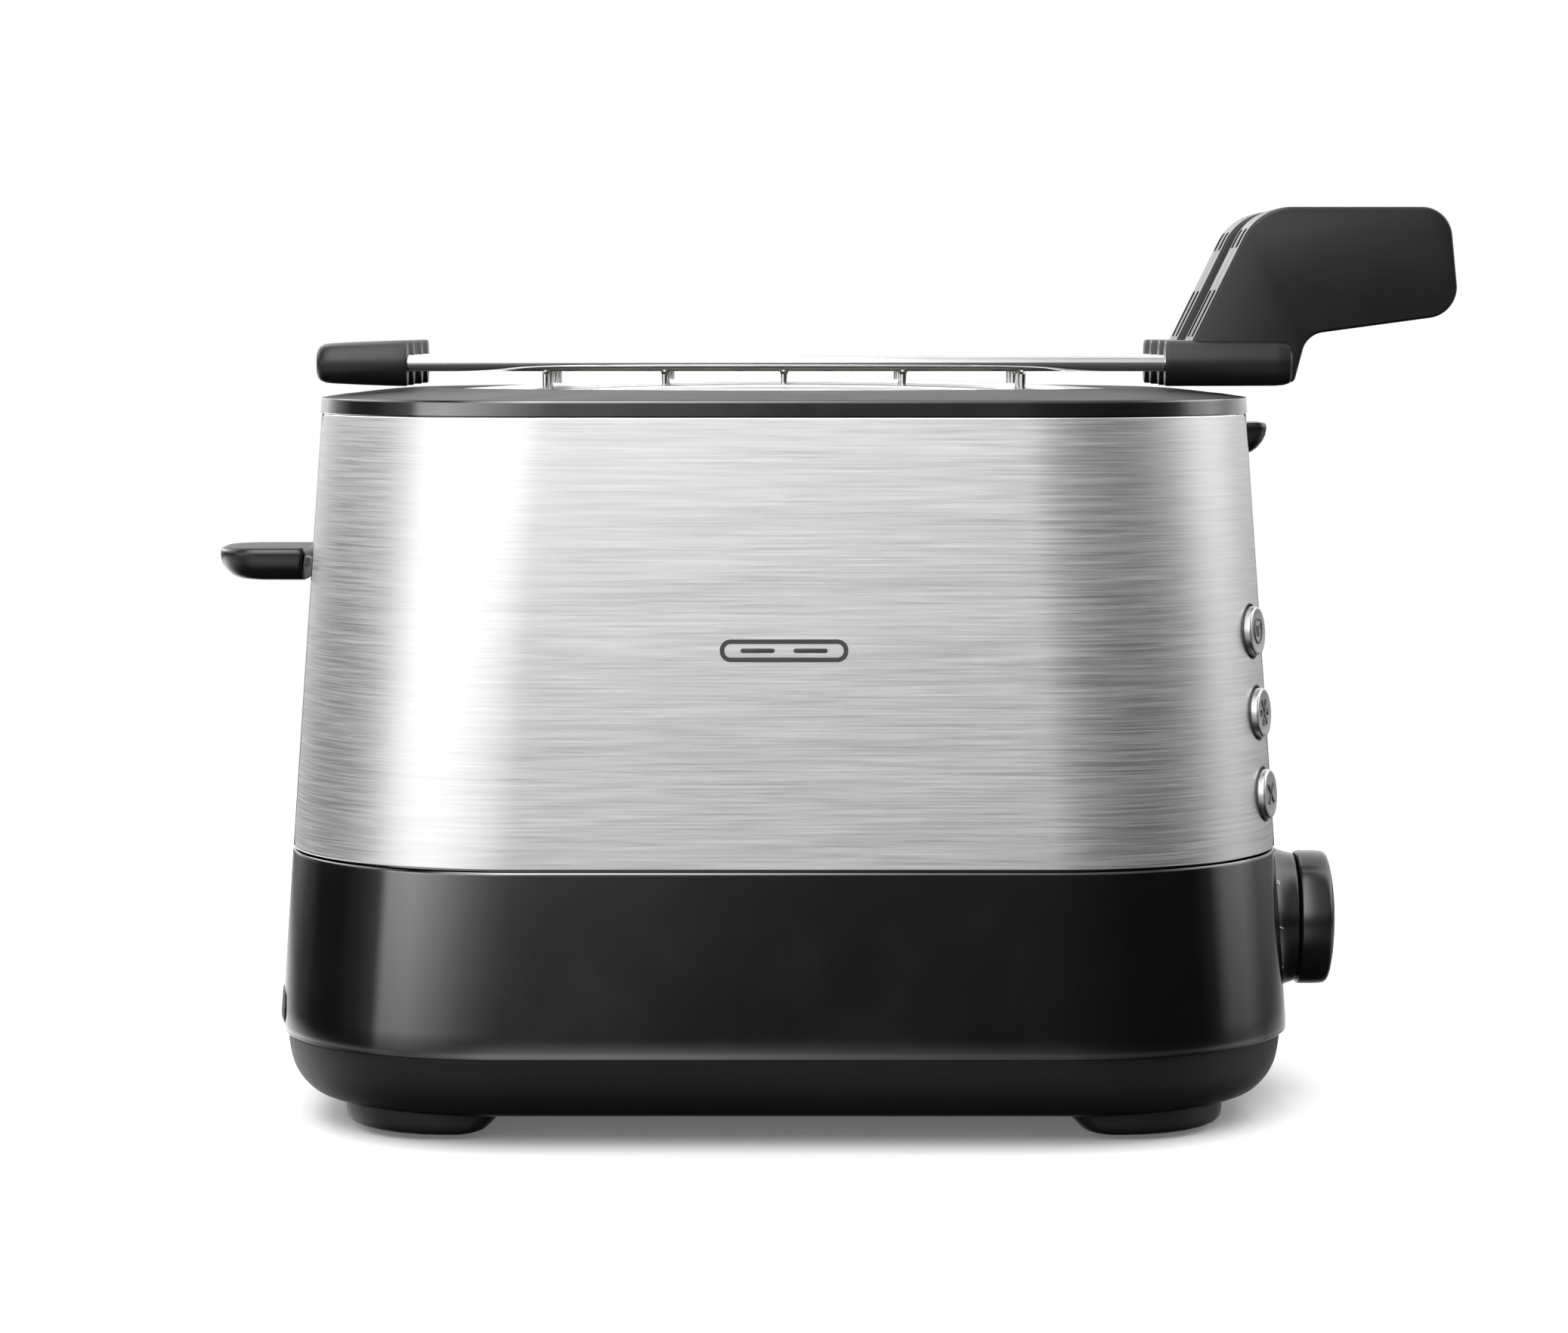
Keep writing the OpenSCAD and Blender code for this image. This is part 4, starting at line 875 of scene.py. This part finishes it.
def make_tray():
    """Crumb tray: a moulded front that lies flush in the skirt, and a bent sheet pan."""
    t = turn_at(49.8, 30)
    stations = [(-1, 1, 180 - t * (1 - i / 12)) for i in range(13)]
    stations += [(-1, 1 - 2 * i / 10, 180) for i in range(1, 10)]
    stations += [(-1, -1, 180 + t * i / 12) for i in range(13)]
    profile = [(1.9, 25.6), (1.4, 26.1), (0.7, 26.9), (0.2, 28.0), (0, 29.2), (0, 31), (0, 33), (0, 35),
               (0.05, 36.2), (0.3, 36.4)]
    columns = []
    for s, reach in zip(stations, from_ends([place(s, 0, 30) for s in stations])):
        drop = corner_drop(reach, 4)
        outer = [place(s, inset - 0.3, z - (drop if z > 31 else 0)) for inset, z in profile]
        columns.append(outer + [place(s, 4.5, 36.4 - drop), place(s, 4.5, 25.6)])
    piece(mesh_object("tray_front", loft(columns, caps=True)), "crumb_tray", "base", "crumb_tray_front")
    levels = [(0, 32.5), (0, 26.9), (0.25, 26.3), (0.9, 26.0), (1.7, 26.8), (1.1, 27.0), (0.8, 27.4),
              (0.8, 32.5)]
    rings = []
    for inset, z in levels:
        r = max(2.2 - inset, 0.6)
        rings.append(rect_ring(PAN_X + inset, 100 - inset, -48 + inset, 48 - inset, z, r, r, 5))
    outside, inside = loft(rings[:4], caps=True), loft(rings[4:], caps=True)
    m = len(rings[0])
    outside[1].pop(-2)
    inside[1].pop()
    verts, faces = merged(outside, inside)
    faces += [((len(rings) - 1) * m + j, j, (j + 1) % m,
               (len(rings) - 1) * m + (j + 1) % m) for j in range(m)]
    piece(mesh_object("tray_pan", (verts, faces)), "crumb_tray", "zinc", "crumb_tray_pan")


# ---- sandwich cages ----
def oval_sleeve(y, sections):
    """A sleeve round a rod, from (x, half width, half height)."""
    return loft([[(x, y + w * math.cos(a), ROD_Z + h * math.sin(a)) for a in full_turn(48)]
                 for x, w, h in sections], caps=True)


def make_cap(body, y):
    """End cap: an oval sleeve with a collar at its mouth and a rounded, slightly smaller outer end."""
    sections = ((-104.3, 3.1, 5.3), (-104.3, 3.7, 6.05), (-104.6, 3.95, 6.3), (-105.2, 4.0, 6.35),
                (-110, 3.95, 6.25), (-118, 3.8, 5.95), (-125, 3.65, 5.6), (-127, 3.5, 5.4),
                (-128.3, 3.1, 4.9), (-129.0, 2.5, 4.2), (-129.4, 1.6, 3.0))
    obj = mesh_object(body + "_endcap", oval_sleeve(y, sections))
    cut(obj, moved(plug(ROD_R + 0.25, -112, -100), along_x(0, y, ROD_Z)))
    piece(obj, body, "grip", body + "_cap")


PADDLE = [(111.4, 212.5, 1.5), (130.85, 252.4, 15), (183.9, 252.4, 8.5), (187, 222.9, 8.5),
          (144.8, 217.2, 6.5), (141.4, 204, 1.6), (137, 204, 1.2), (136, 212.5, 1.0)]
GROOVES = ((4.5, 19.0), (32.0, 38.0))


def make_handle(body, y, y0, y1):
    """Grip: an oval sleeve over the rod's end that runs into a tall flat paddle."""
    paddle = mesh_object(body + "_grip", moved(prism(rounded(PADDLE, 14), -y1, -y0), ALONG_Y))
    bevel(paddle, 0.9, 4, 50)
    (x0, z0, _), (x1, z1, _) = PADDLE[:2]
    along = Vector((x1 - x0, 0, z1 - z0)).normalized()
    out = along.cross(Vector((0, 1, 0)))
    edge = Matrix.Translation((x0, 0, z0)) @ Matrix((along, (0, 1, 0), out)).transposed().to_4x4()
    mid = (y0 + y1) / 2
    for start, stop in GROOVES:
        cut(paddle, moved(rounded_box(start, stop, mid - 2.6, mid + 2.6, -1.4, 2, 1.0, 0.2), edge))
    sections = ((105.5, 3.1, 5.3), (105.5, 3.7, 6.05), (105.8, 3.95, 6.3), (106.4, 4.0, 6.35),
                (136, 4.0, 6.3),
                (138.5, 3.9, 6.1), (140.0, 3.5, 5.6), (140.6, 2.8, 4.8))
    cut(paddle, oval_sleeve(y, sections), "UNION")
    cut(paddle, moved(plug(ROD_R + 0.25, 100, 112), along_x(0, y, ROD_Z)))
    piece(paddle, body, "grip", body + "_handle", angle=28)


def rod_part(y):
    profile = [(0, -118), (2.0, -118), (ROD_R, -117.7), (ROD_R, 131.7), (2.0, 132), (0, 132)]
    return moved(lathe(profile, 32), along_x(0, y, ROD_Z))


def weld(x, y, z, r):
    """A small weld where two wires meet."""
    profile = [(0, r), (r * 0.7, r * 0.7), (r, 0), (r * 0.7, -r * 0.7), (0, -r)]
    return moved(lathe(profile, 12), Matrix.Translation((x, y, z)))


def wire_grid(y, way, bottom, levels, stop):
    """A rod with upright wires below it, and cross wires welded to one side of them."""
    parts = [rod_part(y)]
    for x in WIRE_X:
        parts.append(tube([(x, y, ROD_Z - 1.5), (x, y, bottom)], WIRE_R, 12))
        parts.append(weld(x, y, ROD_Z - ROD_R, 1.25))
        parts += [weld(x, y + way * WIRE_R, z, 0.75) for z in levels]
    across = y + way * 2 * WIRE_R
    return parts + [tube([(-67, across, z), (stop, across, z)], WIRE_R, 12) for z in levels]


def make_cage_frame(body, side):
    """The inner half of a cage: its grid, and floor wires that end in the hinge's knuckles."""
    y, hinge_y = side * GRID_IN, side * GRID_OUT
    parts = wire_grid(y, -side, HINGE_Z + WIRE_R, (HINGE_Z + 2 * WIRE_R, *CROSS_Z), 67 + FLOOR_SHIFT)
    bore = HINGE_R + 0.1
    knuckle = turned_ring([(bore, -2), (2.4, -2), (2.6, -1.8), (2.6, 1.8), (2.4, 2), (bore, 2)], 32)
    for x in WIRE_X:
        x += FLOOR_SHIFT
        ends = [(x, y - side * 3 * WIRE_R, HINGE_Z), (x, hinge_y - side * 2.2, HINGE_Z)]
        parts.append(tube(ends, WIRE_R, 12))
        parts.append(moved(knuckle, along_x(x, hinge_y, HINGE_Z)))
    piece(mesh_object(body + "_grid", merged(*parts)), body, "chrome", body + "_frame")


def make_flap_frame(body, side):
    """The outer half of a cage: its grid, on the bottom bar that it turns about."""
    y = side * GRID_OUT
    bar = lathe([(0, -70), (1.3, -70), (HINGE_R, -69.7), (HINGE_R, 71.7), (1.3, 72), (0, 72)], 24)
    parts = wire_grid(y, side, HINGE_Z, CROSS_Z, 67) + [moved(bar, along_x(0, y, HINGE_Z))]
    piece(mesh_object(body + "_grid", merged(*parts)), body, "chrome", body + "_frame")


def make_cages():
    for side, cage in ((-1, "front"), (1, "rear")):
        for part, y, near, far in (("cage", GRID_IN, 12.0, SLOT_Y - 0.3),
                                   ("flap", GRID_OUT, SLOT_Y + 0.3, 33.0)):
            body = cage + "_" + part
            y0, y1 = sorted((side * near, side * far))
            maker = make_cage_frame if part == "cage" else make_flap_frame
            maker(body, side)
            make_cap(body, side * y)
            make_handle(body, side * y, y0, y1)


# ---- bun rack and the wires inside ----
def make_rack():
    """Four rails, each on its bar, and the end plate with its arm and pin."""
    parts = []
    low, step = RACK_BAR_Z, RACK_BAR_Z + 5
    for side in (-1, 1):
        for x, y, r in ((RAIL_X, side * RAIL_Y, RAIL_R), (INNER_RAIL_X, side * INNER_RAIL_Y, INNER_RAIL_R)):
            rail = bent([(-x, y, step - 1), (-x, y, RAIL_Z), (x, y, RAIL_Z), (x, y, step - 1)], 2.6)
            bar = bent([(-x, y, step), (-x, y, low), (90.4, y, low)], 2.6)
            parts += [tube(rail, r), tube(bar, r), tube([(x, y, step), (x, y, low)], r)]
    parts.append(rounded_box(90, 91.2, -50, 50, low - 6, low + 6, 0.3, 0.3))
    parts.append(rounded_box(90, 91.2, 31, 39, low, 162, 0.3, 0.3))
    pin = lathe([(0, 90.6), (2, 90.6), (2, 97.3), (1.7, 97.6), (0, 97.6)], 32)
    parts.append(moved(pin, along_x(0, 35, 158)))
    piece(mesh_object("bun_rack_wires", merged(*parts)), "bun_rack", "chrome", "bun_rack")


def make_spring():
    """Extension spring wound round the front guide rod."""
    turns, sides, z0, z1, r = 22, 20, 125.5, 189.5, 4.1
    path = []
    for i in range(turns * sides + 1):
        a = 2 * math.pi * i / sides
        path.append((-102 + r * math.cos(a), -16 + r * math.sin(a), z0 + (z1 - z0) * i / (turns * sides)))
    piece(mesh_object("return_coil", tube(path, 0.45, 8)), "carriage", "zinc", "return_spring")


def carry_over():
    """CAD nodes that stay as they are, with a better material."""
    keep = {
        "zinc": ["base_screws", "end_plate_left", "end_plate_right", "carriage_bracket", "lifter_front",
                 "lifter_rear", "bun_rocker", "knob_shaft"],
        "mirror": ["reflector_front", "reflector_rear"],
        "mica": ["heater_card_" + which for which in ("front", "centre", "rear")],
        "ribbon": ["heater_ribbon_" + which for which in ("front", "centre", "rear")],
        "chrome": ["bread_guides_front", "bread_guides_rear", "guide_rods", "bun_guide_rod"],
        "copper": ["latch_magnet"],
        "board": ["control_board", "button_board"],
        "dark": ["browning_control"],
        "rubber": ["cord_grommet"],
    }
    for mat, names in keep.items():
        for name in names:
            me = NODES[name].data
            me.materials.clear()
            me.materials.append(M[mat])


# ---- studio ----
# What the body mirrors, by compass direction in degrees: 0 is straight in front, + is to the right.
BAND = ((-180, 0.4), (-145, 0.55), (-128, 0.2), (-112, 0.03), (-92, 0.02), (-78, 0.08), (-68, 0.2),
        (-63, 1.15), (-50, 1.35), (-40, 1.08), (-31, 0.84), (-23, 0.62), (-14, 0.45), (-6, 0.35),
        (-2.5, 0.21), (0, 0.085), (3, 0.065), (12, 0.04), (35, 0.01), (72, 0.005), (82, 0.06), (92, 0.45),
        (106, 0.6), (122, 0.3), (150, 0.4), (180, 0.4))
UPPER = ((-180, 1.6), (-150, 5.4), (-126, 6.2), (-112, 4.6), (-98, 3.2), (-75, 1.5), (-64, 0.5), (-53, 0),
         (-44, 0.3), (-34, 2.4), (-16, 5.4), (-11, 6.8), (-6, 6.9), (-2.2, 5.6), (-1, 4.2), (0, 3.0),
         (1, 2.0), (3, 1.0), (14, 0.7), (31, 0.6), (53, 0.4), (64, 0.8), (80, 2.2), (90, 3.2), (100, 3.4),
         (112, 3.7), (124, 2.4), (150, 1.6), (180, 1.6))
LOWER = ((-180, 1.2), (-150, 2.4), (-122, 2.9), (-106, 1.9), (-92, 1.3), (-69, 0.9), (-50, 0.3), (-31, 0.9),
         (-12, 1.4), (-2.5, 1.3), (0, 0.8), (3, 0.4), (14, 0.3), (31, 0.25), (59, 0.25), (69, 0.4),
         (80, 0.8), (92, 1.1), (106, 1.1), (122, 0.5), (150, 0.7), (180, 1.2))
TOP_OF_RAMPS = 7.0


def make_world():
    world = bpy.data.worlds.new("studio")
    bpy.context.scene.world = world
    world.use_nodes = True
    tree = world.node_tree
    tree.nodes.clear()
    new, link = tree.nodes.new, tree.links.new

    def calc(operation, *values):
        n = new("ShaderNodeMath")
        n.operation = operation
        for socket, value in zip(n.inputs, values):
            if isinstance(value, (int, float)):
                socket.default_value = value
            else:
                link(value, socket)
        return n.outputs[0]

    def by_compass(turn, stops):
        n = new("ShaderNodeValToRGB")
        for i, (degrees, value) in enumerate(stops):
            at = (degrees + 180) / 360
            e = n.color_ramp.elements[i] if i < 2 else n.color_ramp.elements.new(at)
            e.position = at
            e.color = (*grey(value / TOP_OF_RAMPS), 1)
        link(turn, n.inputs["Fac"])
        return calc("MULTIPLY", n.outputs["Color"], TOP_OF_RAMPS)

    def step(value, a, b, low=0.0, high=1.0):
        n = new("ShaderNodeMapRange")
        n.interpolation_type = "SMOOTHSTEP"
        for key, v in (("From Min", a), ("From Max", b), ("To Min", low), ("To Max", high)):
            n.inputs[key].default_value = v
        link(value, n.inputs["Value"])
        return n.outputs["Result"]

    coord, split = new("ShaderNodeTexCoord"), new("ShaderNodeSeparateXYZ")
    link(coord.outputs["Generated"], split.inputs["Vector"])
    x, y, z = split.outputs
    turn = calc("ADD", calc("DIVIDE", calc("ARCTAN2", x, calc("MULTIPLY", y, -1)), 2 * math.pi), 0.5)
    band = calc("MULTIPLY", by_compass(turn, BAND), step(z, -0.12, 0.06, 0.3, 2.4))
    above = by_compass(turn, UPPER)
    below = calc("MULTIPLY", by_compass(turn, LOWER), step(z, -0.75, -0.3))
    outside = calc("ADD", calc("MULTIPLY", above, step(z, 0.08, 0.24)),
                   calc("MULTIPLY", below, step(z, -0.2, -0.1, 1, 0)))
    middle = calc("MULTIPLY", step(z, -0.2, -0.1), step(z, 0.08, 0.24, 1, 0))
    total = calc("ADD", outside, calc("MULTIPLY", band, middle))
    lit, plain = new("ShaderNodeBackground"), new("ShaderNodeBackground")
    link(total, lit.inputs["Strength"])
    for background in (lit, plain):
        background.inputs["Color"].default_value = (1, 1, 1, 1)
    path, choose, out = new("ShaderNodeLightPath"), new("ShaderNodeMixShader"), new("ShaderNodeOutputWorld")
    link(path.outputs["Is Camera Ray"], choose.inputs["Fac"])
    link(lit.outputs["Background"], choose.inputs[1])
    link(plain.outputs["Background"], choose.inputs[2])
    link(choose.outputs["Shader"], out.inputs["Surface"])


def make_studio():
    """A pale floor that glows faintly, as painted light that lifts the shade under the body, and fades out at
    a distance; two soft lights and the surroundings.
    """
    r = 6000
    floor = mesh_object("floor", ([(-r, -r, 0), (r, -r, 0), (r, r, 0), (-r, r, 0)], [(0, 1, 2, 3)]))
    s = Shader("pale_floor", grey(0.38), 0.9, specular=0.1)
    s.vary_roughness(s.noise(3.0, 2), 0.9, 0.04)
    # painted light: a faint even glow of the floor, which lightens the shadow under and round the body
    s.set("Emission Color", (1, 1, 1, 1))
    s.set("Emission Strength", 0.12)
    coord, reach = s.node("ShaderNodeTexCoord"), s.node("ShaderNodeVectorMath", operation="LENGTH")
    s.link(coord.outputs["Object"], reach.inputs[0])
    s.link(s.ranged(reach.outputs["Value"], 1, 0, 0.45, 0.95), s.bsdf.inputs["Alpha"])
    floor.data.materials.append(s.mat)
    floor.visible_glossy = False
    for name, at, size, size_y, power in (("top_light", (0.0, -0.1, 1.5), 2.4, 1.8, 60),
                                          ("front_light", (0.0, -1.5, 1.35), 2.2, 0.9, 20)):
        light = bpy.data.lights.new(name, "AREA")
        light.shape, light.size, light.size_y, light.energy = "RECTANGLE", size, size_y, power
        obj = added(name, light)
        obj.location = at
        obj.rotation_euler = (Vector((0, 0, 0.1)) - Vector(at)).to_track_quat("-Z", "Y").to_euler()
        obj.visible_camera = False
        obj.visible_glossy = False
    make_world()
    bpy.context.scene.view_settings.view_transform = "Standard"


def make_camera():
    cam = bpy.data.cameras.new("camera")
    obj = added("camera", cam)
    obj.location = (0.0, -1.143, 0.2194)
    obj.rotation_euler = (math.radians(90 - 4.86), 0, 0)
    cam.sensor_width, cam.lens = 36.0, 91.78
    cam.clip_start, cam.clip_end = 0.05, 50
    bpy.context.scene.camera = obj


make_camera()
make_studio()
make_base()
make_feet()
make_skirt()
make_wraps()
make_covers()
make_rim()
make_deck()
make_badge()
make_bezel()
make_digits()
make_knob()
make_buttons()
make_lever()
make_bun_lever()
make_tray()
make_cages()
make_rack()
make_spring()
carry_over()
